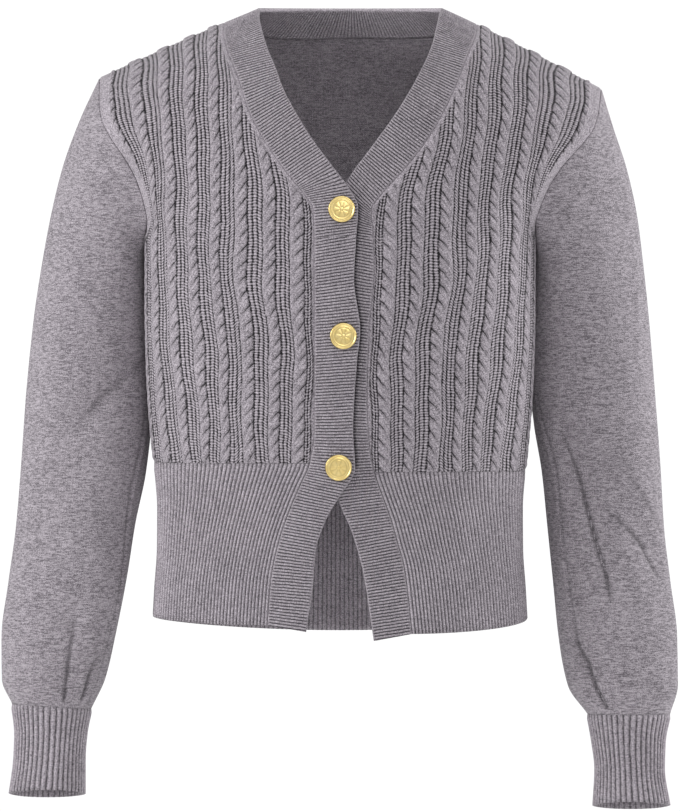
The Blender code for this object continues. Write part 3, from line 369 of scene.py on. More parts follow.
# Narrow creases and ridges of the sleeves, laid out as the folds are: heights are negative for creases
Crease = namedtuple("Crease", "along around end_along end_around half_width start_height end_height")
CREASES_LEFT = rows(Crease, [
    (0.480, 127, 0.577, 113, 1.8, -0.5, -1.8),
    (0.577, 113, 0.624, 108, 1.8, -1.8, -2.5),
    (0.624, 108, 0.711, 99, 1.8, -2.5, -2.6),
    (0.711, 99, 0.749, 95, 1.8, -2.6, -2.0),
    (0.749, 95, 0.801, 94, 2.0, -2.0, -0.3),
    (0.513, 116, 0.626, 103, 4.0, 0.3, 1.1),
    (0.626, 103, 0.760, 91, 4.0, 1.1, 0.5),
    (0.829, 140, 0.879, 134, 2.0, -0.5, -1.2),
    (0.879, 134, 0.904, 125, 2.0, -1.2, -1.7),
    (0.904, 125, 0.985, 117, 2.0, -1.7, -2.2),
    (0.630, 90, 0.685, 59, 2.0, -0.6, -1.4),
    (0.685, 59, 0.750, 40, 2.0, -1.4, -0.9),
    (0.560, 70, 0.634, 39, 2.4, -0.3, -0.9),
    (0.634, 39, 0.668, 24, 2.4, -0.9, -0.5),
    (0.393, 160, 0.557, 145, 1.6, 0.7, 0.9),
    (0.393, 154, 0.557, 139, 1.1, -0.6, -0.8),
    (0.557, 139, 0.758, 138, 1.1, -0.8, -0.8),
    (0.758, 138, 0.985, 132, 1.1, -0.8, -0.5),
    (0.557, 145, 0.758, 144, 1.6, 0.8, 0.7),
    (0.738, 144, 0.985, 138, 1.6, 0.7, 0.5),
    (0.113, 30, 0.296, 37, 3.2, 0.5, 0.8),
    (0.296, 37, 0.493, 48, 3.2, 0.8, 0.2),
    (0.534, 290, 0.606, 250, 2.8, -0.4, -1.6),
    (0.606, 250, 0.626, 226, 2.8, -1.6, -0.4),
    (0.719, 300, 0.750, 245, 3.0, -1.2, -0.4),
    (0.860, 268, 0.985, 262, 2.2, -0.4, -1.8),
    (0.900, 318, 0.985, 322, 2.2, -0.3, -1.4),
])
CREASES_RIGHT = rows(Crease, [
    (0.385, 126, 0.432, 103, 2.6, -0.4, -1.0),
    (0.432, 103, 0.492, 84, 2.6, -1.0, -0.3),
    (0.318, 160, 0.368, 137, 3.4, -0.8, -0.4),
    (0.846, 104, 0.929, 104, 1.9, -0.5, -1.5),
    (0.929, 104, 0.985, 106, 1.9, -1.5, -1.7),
    (0.915, 138, 0.946, 132, 2.0, -0.6, -1.6),
    (0.946, 132, 0.985, 133, 2.0, -1.6, -2.0),
    (0.452, 160, 0.608, 149, 1.5, 0.9, 1.2),
    (0.452, 154, 0.608, 143, 1.1, -0.6, -0.9),
    (0.608, 143, 0.715, 152, 1.1, -0.9, -0.9),
    (0.715, 152, 0.813, 158, 1.1, -0.9, -0.8),
    (0.792, 158, 0.985, 148, 1.1, -0.8, -0.6),
    (0.608, 149, 0.715, 158, 1.5, 1.0, 0.9),
    (0.715, 158, 0.813, 164, 1.5, 0.9, 0.9),
    (0.792, 164, 0.985, 154, 1.5, 0.9, 0.7),
    (0.544, 296, 0.616, 248, 2.8, -0.4, -1.5),
    (0.678, 230, 0.657, 290, 3.0, -0.6, -1.2),
    (0.880, 258, 0.985, 256, 2.2, -0.4, -1.8),
    (0.900, 310, 0.985, 306, 2.2, -0.3, -1.3),
])

# Soft creases of the back, by their places across and up
BackCrease = namedtuple("BackCrease", "x z end_x end_z half_width depth")
BACK_CREASES = rows(BackCrease, [
    (-128, -150, -70, -190, 12, 2.0),
    (134, -158, 82, -204, 13, 2.2),
    (-60, -318, 30, -308, 14, 1.8),
    (40, -286, 118, -300, 12, 1.4),
    (-110, -276, -50, -262, 11, 1.2),
])


# Sizes and colours that a user would change


def number(name, description, default, **more):
    return bpy.props.FloatProperty(name=name, description=description, default=default, **more)


def share(name, description, default):
    return number(name, description, default, subtype="FACTOR")


def size(name, description, default):
    return number(name, description, default, unit="LENGTH", precision=4)


def tint(name, description, default):
    return bpy.props.FloatVectorProperty(name=name, description=description, default=default, subtype="COLOR")


class YarnSettings(bpy.types.PropertyGroup):
    """Yarn colours and the sizes of the knitting."""

    light: tint("Light fibres", "Colour of the lightest fibres", (0.53, 0.483, 0.53))
    dark: tint("Dark fibres", "Colour of the darkest fibres", (0.155, 0.139, 0.157))
    heather: share("Heather", "Contrast between the fibres", 1.0)
    fleck_scale: number("Flecks", "Flecks to the metre", 1150.0)
    streak_scale: number("Streaks", "Rows of streaks to the metre", 1050.0)
    cloud_scale: number("Clouds", "Uneven patches to the metre", 40.0)
    stitch_width: size("Stitch width", "Width of a plain stitch", 0.0019)
    stitch_height: size("Stitch height", "Height of a plain stitch", 0.0016)
    purl_height: size("Purl height", "Height of a purl stitch in a ladder", 0.00215)
    cable_height: size("Cable height", "How far the cables stand out", 0.0021)
    rib_height: size("Rib height", "How far the hem's and cuffs' ribs stand out", 0.0011)
    band_rib_height: size("Band rib height", "How far the bands' ribs stand out", 0.0006)
    crease_height: share("Crease size", "Strength of the sleeves' creases", 1.0)
    # Groove shade and stitch shade set painted shade, darkening the yarn's colour between stitches
    groove_shade: share("Groove shade", "Darkness between raised stitches", 0.86)
    stitch_shade: share("Stitch shade", "Darkness between plain stitches", 0.10)
    bump: number("Bump", "Strength of the fine stitches", 0.55)


class MetalSettings(bpy.types.PropertyGroup):
    """Finish and rim of the buttons."""

    colour: tint("Gold", "Colour of the plating", (1.0, 0.83, 0.42))
    colour_deep: tint("Deep gold", "Colour of its darker patches", (0.93, 0.68, 0.22))
    roughness: share("Roughness", "Roughness of the plating", 0.34)
    rim_width: size("Rim width", "Width of the raised rim", 0.0014)


class StageSettings(bpy.types.PropertyGroup):
    """Camera, floor and light."""

    distance: size("Camera distance", "From the camera to the origin's plane", 5.0)
    height: size("Camera height", "Height of the level camera", -0.301)
    seen: size("Seen height", "Height that the image covers at the origin", 0.6204)
    floor: size("Floor height", "Height of the floor under the garment", -1.2)
    sky: number("Room light", "Strength of the white room's light", 0.56)
    left: number("Left light", "Power of the light at the left", 46.0)
    right: number("Right light", "Power of the light at the right", 44.0)
    front: number("Front light", "Power of the light in front", 20.0)


# Curves and directions


def cubic(keys, values, key):
    """Values at key along the first axis, on a smooth curve through them that never overshoots."""
    step = np.diff(keys)
    shaped = step.reshape((-1,) + (1,) * (values.ndim - 1))
    slope = np.diff(values, axis=0) / shaped
    before, after = slope[:-1], slope[1:]
    turning = before * after <= 0
    middle = np.where(turning, 0.0, 2 * before * after / np.where(turning, 1.0, before + after))
    tangent = np.concatenate([slope[:1], middle, slope[-1:]])
    key = np.clip(key, keys[0], keys[-1])
    index = np.clip(np.searchsorted(keys, key, side="right") - 1, 0, len(keys) - 2)
    along = (key - keys[index]) / step[index]
    start, stop = values[index], values[index + 1]
    leave, arrive, span = tangent[index], tangent[index + 1], step[index]
    if values.ndim > 1:
        along, span = along[:, None], span[:, None]
    back = 1 - along
    return (
        start * (1 + 2 * along) * back**2
        + stop * (3 - 2 * along) * along**2
        + span * (leave * along * back**2 - arrive * along**2 * back)
    )


def read(table, column, key):
    """One column of a table at the given keys, which its first column holds."""
    keys = np.array([row[0] for row in table], float)
    values = np.array([getattr(row, column) for row in table], float)
    return cubic(keys, values, np.asarray(key, float))


def ease(value):
    """0 to 1 with level ends."""
    value = np.clip(value, 0.0, 1.0)
    return value * value * (3 - 2 * value)


def signed_power(value, exponent):
    """A power of the value's size that keeps its sign."""
    return np.sign(value) * np.abs(value) ** exponent


def unit(vectors):
    return vectors / np.maximum(np.linalg.norm(vectors, axis=-1, keepdims=True), 1e-12)


def lengths(points):
    """Length along a line of points, from 0 at its first point."""
    return np.concatenate([[0], np.cumsum(np.linalg.norm(np.diff(points, axis=0), axis=1))])


# The body's surface


def shoulder_z(across):
    """Height of the shoulder's ridge at a distance from the garment's middle."""
    slope = SHOULDER_SLOPE + SLOPE_DIFFERENCE * np.tanh(across / SLOPE_SPREAD)
    return -slope * (np.hypot(across, NECK_ROUNDING) - math.hypot(NECK_HALF_WIDTH, NECK_ROUNDING))


def lean(level):
    """How far to the viewer's right the body has shifted at a level."""
    return LEAN * np.sin(np.radians(90 * np.clip(level, 0, 1))) ** 0.8


def half_width(level):
    below = read(BODY, "half_width", UNDERARM_Z + np.minimum(level, 0))
    return np.where(level > 0, read(YOKE, "half_width", np.clip(level, 0, 1)), below)


def body(turn, level):
    """Points of the body's outer surface.

    turn is in degrees from the middle of the front, positive to the viewer's right and 180 at the back.
    level is the height over the underarm in millimetres while negative, and the share of the way over
    the shoulder while positive.
    """
    turn, level = np.broadcast_arrays(np.asarray(turn, float), np.asarray(level, float))
    low_z = UNDERARM_Z + np.minimum(level, 0)
    rise = np.radians(90 * np.clip(level, 0, 1))
    sine, cosine = np.sin(np.radians(turn)), np.cos(np.radians(turn))
    across = half_width(level) * signed_power(sine, 2 / ROUNDING)
    depth = np.where(cosine > 0, read(BODY, "front_depth", low_z), read(BODY, "back_depth", low_z))
    depth = depth * np.abs(cosine) ** (2 / ROUNDING) * np.abs(np.cos(rise)) ** (2 / YOKE_ROUNDING)
    up = np.sin(rise) ** (2 / YOKE_ROUNDING)
    x = across + lean(level)
    y = RIDGE_Y * (1 - np.cos(rise)) - np.sign(cosine) * depth
    z = low_z + (shoulder_z(across) - UNDERARM_Z) * up
    return np.stack([x, y, z], axis=-1)


def body_normal(turn, level):
    """Outward directions of the body's surface."""
    turn, level = np.broadcast_arrays(np.asarray(turn, float), np.asarray(level, float))
    nudge = np.where(level > 0, 0.01, 1.0)
    round_it = body(turn + 0.4, level) - body(turn - 0.4, level)
    up_it = body(turn, np.minimum(level + nudge, 1.0)) - body(turn, level - nudge)
    return unit(np.cross(round_it, up_it))


def turn_at(x, level):
    """Turn of the front's point at x on a level."""
    across = np.clip((x - lean(level)) / half_width(level), -1, 1)
    return np.degrees(np.arcsin(signed_power(across, ROUNDING / 2)))


def front_place(x, z):
    """Turn and level of the point of the front seen at x and z."""
    x, z = np.broadcast_arrays(np.asarray(x, float), np.asarray(z, float))
    level = np.zeros_like(x)
    for _ in range(8):
        across = x - lean(level)
        share = np.clip((z - UNDERARM_Z) / (shoulder_z(across) - UNDERARM_Z), 0, 1)
        over = np.degrees(np.arcsin(share ** (YOKE_ROUNDING / 2))) / 90
        level = np.where(z < UNDERARM_Z, z - UNDERARM_Z, over)
    return turn_at(x, level), level


def seen_z(x, level):
    """Height of the front's point at x on a level."""
    up = np.sin(np.radians(90 * np.clip(level, 0, 1))) ** (2 / YOKE_ROUNDING)
    return UNDERARM_Z + np.minimum(level, 0) + (shoulder_z(x - lean(level)) - UNDERARM_Z) * up


def even_levels(turn, start, stop, count):
    """Levels that part the surface between two levels into equal lengths."""
    fine = np.linspace(start, stop, 400)
    length = lengths(body(turn, fine))
    return np.interp(np.linspace(0, length[-1], count + 1), length, fine)


def even_turns(start, stop, level, shares):
    """Turns at the given shares of the way round between two turns on one level."""
    fine = np.linspace(start, stop, 200)
    length = lengths(body(fine, level))
    return np.interp(np.asarray(shares) * length[-1], length, fine)


# Seams


def armhole_turn(side, level, at_back):
    """Turn of the armhole seam, or of the side seam below the underarm."""
    column = "armhole_back" if at_back else "armhole_front"
    edge = np.where(level > 0, read(YOKE, column, np.clip(level, 0, 1)), 90.0)
    return side * (180 - edge if at_back else edge)


def seam_x(front, z):
    """A front's band seam as seen from the front, straight between the band's rows."""
    return np.interp(z, front.heights, read(front.band, "seam_x", front.heights))


def armhole_curve(side, at_back):
    """The armhole seam's half from the shoulder down to the underarm: levels, turns and arc shares."""
    levels = np.linspace(1.0, 0.0, 241) ** 1.5
    turns = armhole_turn(side, levels, at_back)
    length = lengths(body(turns, levels))
    return levels, turns, length / length[-1]


def armhole_place(side, around):
    """Turn and level of the armhole seam at an angle round it: 0 on the shoulder, 90 front, 180 below."""
    around = np.mod(around, 360)
    turn, level = np.zeros_like(around), np.zeros_like(around)
    for at_back in (False, True):
        levels, turns, share = armhole_curve(side, at_back)
        mine = around > 180 if at_back else around <= 180
        along = (360 - around) / 180 if at_back else around / 180
        turn = np.where(mine, np.interp(along, share, turns), turn)
        level = np.where(mine, np.interp(along, share, levels), level)
    return turn, level


def hem_bottom(hem, share):
    """Height of a hem's free edge from the side (0) to the middle (1)."""
    return hem.side_bottom + (hem.middle_bottom - hem.side_bottom) * np.sin(np.radians(90 * share))


# Sleeves


def cut_ring(cut, side, around):
    """One sleeve ring: 0 degrees at its outer edge, 90 at the front, 180 at its inner edge."""
    cosine = signed_power(np.cos(np.radians(around)), 2 / SLEEVE_ROUNDING)
    sine = signed_power(np.sin(np.radians(around)), 2 / SLEEVE_ROUNDING)
    x = (cut.outer_x + cut.inner_x) / 2 + (cut.outer_x - cut.inner_x) / 2 * cosine
    z = (cut.outer_z + cut.inner_z) / 2 + (cut.outer_z - cut.inner_z) / 2 * cosine
    y = cut.middle_y - cut.half_depth * sine
    return np.stack([side * x, y, z], axis=-1)


def tube(rings, along, around, first=None):
    """Points of a tube through its rings, at rows along (0 to 1) and angles around."""
    around = np.asarray(around, float)
    stack = [ring(around) for ring in rings]
    if first is not None:
        stack.insert(0, first(around))
    values = np.stack(stack)
    steps = np.linalg.norm(np.diff(values.mean(axis=1), axis=0), axis=1)
    keys = np.concatenate([[0], np.cumsum(steps)])
    flat = values.reshape(len(values), -1)
    return cubic(keys / keys[-1], flat, np.asarray(along, float)).reshape(len(along), len(around), 3)


def tube_normal(surface, along, around):
    """Outward directions of a tube surface(along, around)."""
    along = np.asarray(along, float)
    nudge = 0.004
    down = surface(np.minimum(along + nudge, 1), around) - surface(np.maximum(along - nudge, 0), around)
    turn = surface(along, around + 2.0) - surface(along, around - 2.0)
    return unit(np.cross(down, turn))


def from_line(start, end, one, two):
    """Shares of the way along a line, and distances from it, of places on a flat layout."""
    run = np.subtract(end, start)
    share = ((one - start[0]) * run[0] + (two - start[1]) * run[1]) / (run @ run)
    held = np.clip(share, 0, 1)
    return share, np.hypot(one - start[0] - held * run[0], two - start[1] - held * run[1])


def sleeve_layout(along, around):
    """Distances down and round a sleeve of mean size."""
    return along * SLEEVE_LENGTH, around * SLEEVE_GIRTH / 360


def from_fold(fold, down, across):
    """Shares of the way along a sleeve's fold, and 1 on it falling to 0 away from it."""
    start, end = sleeve_layout(fold.along, fold.around), sleeve_layout(fold.end_along, fold.end_around)
    share, away = from_line(start, end, down, across)
    return np.clip(share, 0, 1), np.exp(-((away / fold.half_width) ** 2))


def fold_depth(folds, along, around):
    """How far the folds press in a sleeve's points, for rows along and columns around."""
    down, across = np.meshgrid(*sleeve_layout(np.asarray(along), around), indexing="ij")
    depth = sum(fold.depth * from_fold(fold, down, across)[1] for fold in folds)
    return depth * ease((1 - np.asarray(along)) / FOLD_FADE)[:, None]


def crease_height(creases, along, around):
    """Height of narrow ridges and, if negative, of narrow creases on a sleeve."""
    down, across = np.meshgrid(*sleeve_layout(along, around), indexing="ij")
    ridge, trough = np.zeros_like(down), np.zeros_like(down)
    for crease in creases:
        share, near = from_fold(crease, down, across)
        value = (crease.start_height + (crease.end_height - crease.start_height) * share) * near
        ridge, trough = np.maximum(ridge, value), np.minimum(trough, value)
    return (ridge + trough) * ease((1 - along) / 0.02)[:, None] * ease(along / 0.05)[:, None]


def sleeve_surface(side, cuts, folds):
    def armhole(around):
        points = body(*armhole_place(side, around))
        return points + np.array([side * ARMHOLE_GAP, 0, 0])

    def smooth(along, around):
        return tube(rings, along, around, armhole)

    def folded(along, around):
        outward = -side * tube_normal(smooth, along, around)
        return smooth(along, around) - outward * fold_depth(folds, along, around)[..., None]

    rings = [lambda around, cut=cut: cut_ring(cut, side, around) for cut in cuts]
    return folded if folds else smooth


def cuff_surface(side, cuts):
    def ring(cut, is_last):
        def points(around):
            placed = cut_ring(cut, side, around)
            if is_last:
                placed[..., 2] += CUFF_TILT * np.sin(np.radians(around))
            return placed

        return points

    rings = [ring(cut, cut is cuts[-1]) for cut in cuts]
    return lambda along, around: tube(rings, along, around)


def armhole_mitre(side, cuts, around):
    """Direction that halves the corner between body and sleeve along the armhole seam."""
    surface = sleeve_surface(side, cuts, ())
    sleeve = -side * tube_normal(surface, np.array([0.0]), around)[0]
    return unit(body_normal(*armhole_place(side, around)) + sleeve)


# Bands and neck


def neck_level(share):
    """Level of the back neck's seam at a share of its half width."""
    return 1 - RIDGE_GAP - NECK_DIP * np.sqrt(np.clip(1 - share**2, 0, 1))


def neck_turn():
    """Turn from the middle of the back to the neck seam's end on the ridge."""
    ratio = NECK_SEAM_X / float(read(YOKE, "half_width", 1.0))
    return math.degrees(math.asin(ratio ** (ROUNDING / 2)))


def ridge_reach(level):
    """Share of the body's depth between a level and the ridge."""
    return np.abs(np.cos(np.radians(90 * np.clip(level, 0, 1)))) ** (2 / YOKE_ROUNDING)


def band_place(band, seam_z, share):
    """Positions of a band's points as seen from the front."""
    start_x = read(band, "seam_x", seam_z)
    free_x, free_z = read(band, "free_x", seam_z), read(band, "free_z", seam_z)
    return start_x + (free_x - start_x) * share, seam_z + (free_z - seam_z) * share


def spread_end(band, seam_z, share, x, level):
    """Turns and levels of a band's points, with its last rows spread evenly up to the ridge."""
    start = np.full_like(seam_z, band[-2].seam_z)
    now, seam_start = (front_place(*band_place(band, row, share * 0))[1] for row in (seam_z, start))
    own_start = front_place(*band_place(band, start, share))[1]
    end = ridge_reach(1 - RIDGE_GAP)
    progress = (ridge_reach(seam_start) - ridge_reach(now)) / (ridge_reach(seam_start) - end)
    reach = ridge_reach(own_start) + (end - ridge_reach(own_start)) * np.clip(progress, 0, 1)
    spread = np.degrees(np.arccos(np.clip(reach ** (YOKE_ROUNDING / 2), 0, 1))) / 90
    level = np.minimum(np.where(seam_z > start, spread, level), 1 - RIDGE_GAP)
    return turn_at(x, level), level


def band_points(front, seam_z, across, sink):
    """Points of a front band at seam heights and shares across it, sunk by sink behind its face."""
    band = front.band
    seam_z, across = np.meshgrid(seam_z, across, indexing="ij")
    share = across.ravel()
    x, z = band_place(band, seam_z.ravel(), share)
    x = x - front.side * SEAM_GAP / 2 * (1 - share)
    turn, level = spread_end(band, seam_z.ravel(), share, x, front_place(x, z)[1])
    lift = front.lift * ease(share / BAND_STEP) * read(OVERLAP, "share", seam_z.ravel())
    points = body(turn, level) + body_normal(turn, level) * (lift - sink)[:, None]
    return points.reshape(seam_z.shape + (3,))


def neckband_points(share, across):
    """Points of the band round the back of the neck: share -1 to 1 from left to right, across 0 to 1 up."""
    turn = 180 - np.sign(share) * neck_turn() * np.abs(share)
    seam = body(turn, neck_level(share) + RIDGE_GAP)
    depth = np.sqrt(np.clip(1 - share**2, 0, 1))
    free = np.stack(
        [
            LEAN + NECK_FREE_X * share,
            RIDGE_Y + NECK_FREE_DEPTH * depth,
            NECK_FREE_Z + NECK_FREE_RISE * depth,
        ],
        axis=-1,
    )
    start = SEAM_GAP / 2 / BAND_WIDTH
    return seam + (free - seam) * (start + (1 - start) * across)


# Meshes


def laid_out(across, along):
    """Surface coordinates of a grid's points, across the wales and along them."""
    return np.stack(np.broadcast_arrays(across, along), axis=2)


class Cloth:
    """Points, faces, surface coordinates and relief of one closed wall, in millimetres.

    Surface coordinates lie across and along the knitting. Relief holds how deep a point lies in a groove,
    which the materials paint as shade, how far it belongs to a ladder of purl stitches (on the under band, a
    painted shadow beside the top band's free edge instead), and how far it is patterned rather than plain.
    """

    def __init__(self):
        self.points, self.places, self.relief = [], [], []
        self.quads, self.quad_places, self.triangles = [], [], []
        self.count = 0

    def grid(self, points, places, relief=None, closed=False, holes=()):
        """Adds a grid of points and gives its index grid; a closed one ends on its first column again."""
        rows, columns = points.shape[:2]
        index = self.count + np.arange(rows * columns).reshape(rows, columns)
        self.count += rows * columns
        self.points.append(points.reshape(-1, 3))
        self.places.append(places[:, :columns].reshape(-1, 2))
        blank = np.zeros((rows, columns, 3)) if relief is None else relief
        self.relief.append(blank.reshape(-1, 3))
        if closed:
            index = np.concatenate([index, index[:, :1]], axis=1)
        kept = np.ones((index.shape[0] - 1, index.shape[1] - 1), bool)
        for low, high, left, right in holes:
            kept[low:high, left:right] = False
        for source, store in ((index[..., None], self.quads), (places, self.quad_places)):
            corners = [source[:-1, :-1], source[:-1, 1:], source[1:, 1:], source[1:, :-1]]
            store.append(np.stack(corners, axis=2)[kept])
        return index

    def line_shares(self, line):
        """Places of a line's points as shares of its length."""
        points = np.concatenate(self.points)
        length = lengths(points[line])
        return length / length[-1]

    def join(self, first, second):
        """Triangles between two lines of points that run the same way."""
        one, two = self.line_shares(first), self.line_shares(second)
        here, there = 0, 0
        while here < len(first) - 1 or there < len(second) - 1:
            step_first = there == len(second) - 1
            if not step_first and here < len(first) - 1:
                step_first = one[here + 1] <= two[there + 1]
            if step_first:
                self.triangles.append([first[here], first[here + 1], second[there]])
                here += 1
            else:
                self.triangles.append([first[here], second[there + 1], second[there]])
                there += 1

    def close_tube(self, outer, inner):
        """Closes both ends between an outer and an inner tube."""
        self.join(outer[0], inner[0])
        self.join(outer[-1], inner[-1])

    def rim(self, outer, inner):
        """Closes the four sides between an outer and an inner grid."""
        self.close_tube(outer, inner)
        self.join(outer[:, 0], inner[:, 0])
        self.join(outer[:, -1], inner[:, -1])


def build_mesh(name, cloth, material):
    """One smooth mesh object from a closed wall."""
    points, places, relief = (np.concatenate(part) for part in (cloth.points, cloth.places, cloth.relief))
    quads = np.concatenate(cloth.quads)[..., 0]
    triangles = np.array(cloth.triangles, int).reshape(-1, 3)
    corners = np.concatenate([quads.ravel(), triangles.ravel()])
    starts = np.concatenate([4 * np.arange(len(quads)), quads.size + 3 * np.arange(len(triangles))])
    quad_places = np.concatenate(cloth.quad_places).reshape(-1, 2)
    corner_places = np.concatenate([quad_places, places[triangles.ravel()]])
    mesh = bpy.data.meshes.new(name)
    mesh.vertices.add(len(points))
    mesh.vertices.foreach_set("co", (points * METRES).ravel())
    mesh.loops.add(len(corners))
    mesh.loops.foreach_set("vertex_index", corners)
    mesh.polygons.add(len(starts))
    mesh.polygons.foreach_set("loop_start", starts)
    mesh.update(calc_edges=True)
    mesh.uv_layers.new(name="knit").data.foreach_set("uv", corner_places.ravel())
    colours = np.concatenate([relief, np.ones_like(relief[:, :1])], axis=1)
    mesh.attributes.new("relief", "FLOAT_COLOR", "POINT").data.foreach_set("color", colours.ravel())
    mesh.validate()
    shape = bmesh.new()
    shape.from_mesh(mesh)
    bmesh.ops.recalc_face_normals(shape, faces=shape.faces)
    if shape.calc_volume(signed=True) < 0:
        bmesh.ops.reverse_faces(shape, faces=shape.faces)
    shape.to_mesh(mesh)
    shape.free()
    mesh.shade_smooth()
    mesh.materials.append(material)
    placed = bpy.data.objects.new(name, mesh)
    bpy.context.scene.collection.objects.link(placed)
    return placed


def dress(placed, node, flat=None):
    """Fastens a piece to the garment's body in place of its solid, which it hides; the cut of cloth, if
    given, is not used.
    """
    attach(placed, BODY_NAME)
    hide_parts(node)
    if flat is not None:
        width, length = flat.size
        width * METRES
        length * METRES
        flat.area


# Materials


def feed(place, value):
    """Links a value to a node's input, or sets it."""
    value = getattr(value, "socket", value)
    if isinstance(value, bpy.types.NodeSocket):
        place.id_data.links.new(value, place)
    elif value is not None:
        place.default_value = value


def add_node(tree, kind, *values, named=None, **settings):
    """A shader node with its first inputs and its named inputs set or linked."""
    made = tree.nodes.new("ShaderNode" + kind)
    for name, value in settings.items():
        setattr(made, name, value)
    for place, value in (*enumerate(values), *(named or {}).items()):
        feed(made.inputs[place], value)
    return made


class Value:
    """A number in a shader, which arithmetic turns into further nodes."""

    def __init__(self, socket):
        self.socket = socket

    def math(self, operation, first, second=0.0):
        return Value(add_node(self.socket.id_data, "Math", first, second, operation=operation).outputs[0])

    def __add__(self, other):
        return self.math("ADD", self, other)

    def __sub__(self, other):
        return self.math("SUBTRACT", self, other)

    def __rsub__(self, other):
        return self.math("SUBTRACT", other, self)

    def __mul__(self, other):
        return self.math("MULTIPLY", self, other)

    def __truediv__(self, other):
        return self.math("DIVIDE", self, other)

    def __pow__(self, other):
        return self.math("POWER", self, other)

    def __abs__(self):
        return self.math("ABSOLUTE", self)

    def __round__(self):
        return self.math("ROUND", self)

    def fraction(self):
        return self.math("FRACT", self)

    def least(self, other):
        return self.math("MINIMUM", self, other)

    def above(self, limit):
        return self.math("GREATER_THAN", self, limit)

    def clamped(self):
        return Value(add_node(self.socket.id_data, "Clamp", self).outputs[0])


def new_material(name):
    """A material with its shader and its object coordinates."""
    material = bpy.data.materials.new(name)
    material.use_nodes = True
    tree = material.node_tree
    return material, tree.nodes["Principled BSDF"], add_node(tree, "TexCoord").outputs["Object"]


def finish_shader(shader, **inputs):
    """Sets or links a shader's inputs, named with underscores for spaces."""
    for name, value in inputs.items():
        feed(shader.inputs[name.replace("_", " ")], value)


def blend(share, first, second):
    """A colour between two others."""
    tree = share.socket.id_data
    return add_node(tree, "Mix", named={0: share, 6: first, 7: second}, data_type="RGBA").outputs[2]


def toned(colour, tone):
    return [*(channel * tone for channel in colour), 1.0]


def bumped(height, strength, distance):
    inputs = {"Strength": strength, "Distance": distance, "Height": height}
    return add_node(height.socket.id_data, "Bump", named=inputs).outputs[0]


def spots(where, scale, stretch=(1.0, 1.0, 1.0), detail=2.0):
    """Noise from 0 to 1 with scale spots to the metre."""
    moved = add_node(where.id_data, "Mapping", where, named={"Scale": stretch})
    inputs = {"Scale": scale, "Detail": detail, "Roughness": 0.6}
    return Value(add_node(where.id_data, "TexNoise", moved.outputs[0], named=inputs).outputs["Fac"])


def relief_values(tree):
    """The mesh's groove, ladder and pattern values; groove sets painted shade, and on the under band the
    ladder value is a painted shadow.
    """
    stored = add_node(tree, "Attribute", attribute_name="relief").outputs[0]
    return [Value(output) for output in add_node(tree, "SeparateColor", stored).outputs]


def ripple(value, pitch):
    """A wave from 0 to 1 with the given pitch."""
    return value.math("COSINE", value * (2 * math.pi / pitch)) * -0.5 + 0.5


def line(distance, width):
    """1 on a line, falling to 0 at a distance of its width."""
    return (1.0 - distance / width).clamped()


def ladder_lines(place):
    """Lines between and beside the purl wales of each ladder, sunk in by the bump and darkened with painted
    shade, from places counted in ladders.
    """
    off = abs(place - round(place))
    three = abs(off - LADDER_REACH / 3).least(abs(off - LADDER_REACH))
    two = off.least(abs(off - LAST_LADDER_REACH))
    narrower = place.above(LADDER_COUNT - 0.5) * (two - three)
    return line(three + narrower, LINE_WIDTH)


def cable_strokes(place, along):
    """Strokes where the strands of a cable cross, and the fine lines of the wales in its strands, sunk in by
    the bump and darkened with painted shade.
    """
    wider = place.above(LADDER_COUNT - 1) * ((LADDER_REACH - LAST_LADDER_REACH) / 2)
    cable = (place.fraction() - 0.5 - wider) / (wider + (0.5 - LADDER_REACH))
    bend = 1.0 - cable * cable
    phase = along / CROSSING - cable * STROKE_RISE - bend * STROKE_BEND
    strength = (cable * 0.8 + 0.65).clamped()
    stroke = line(abs(phase - round(phase)), STROKE_WIDTH / CROSSING) * strength
    return stroke, ripple(phase, 1 / 3) ** 3.0


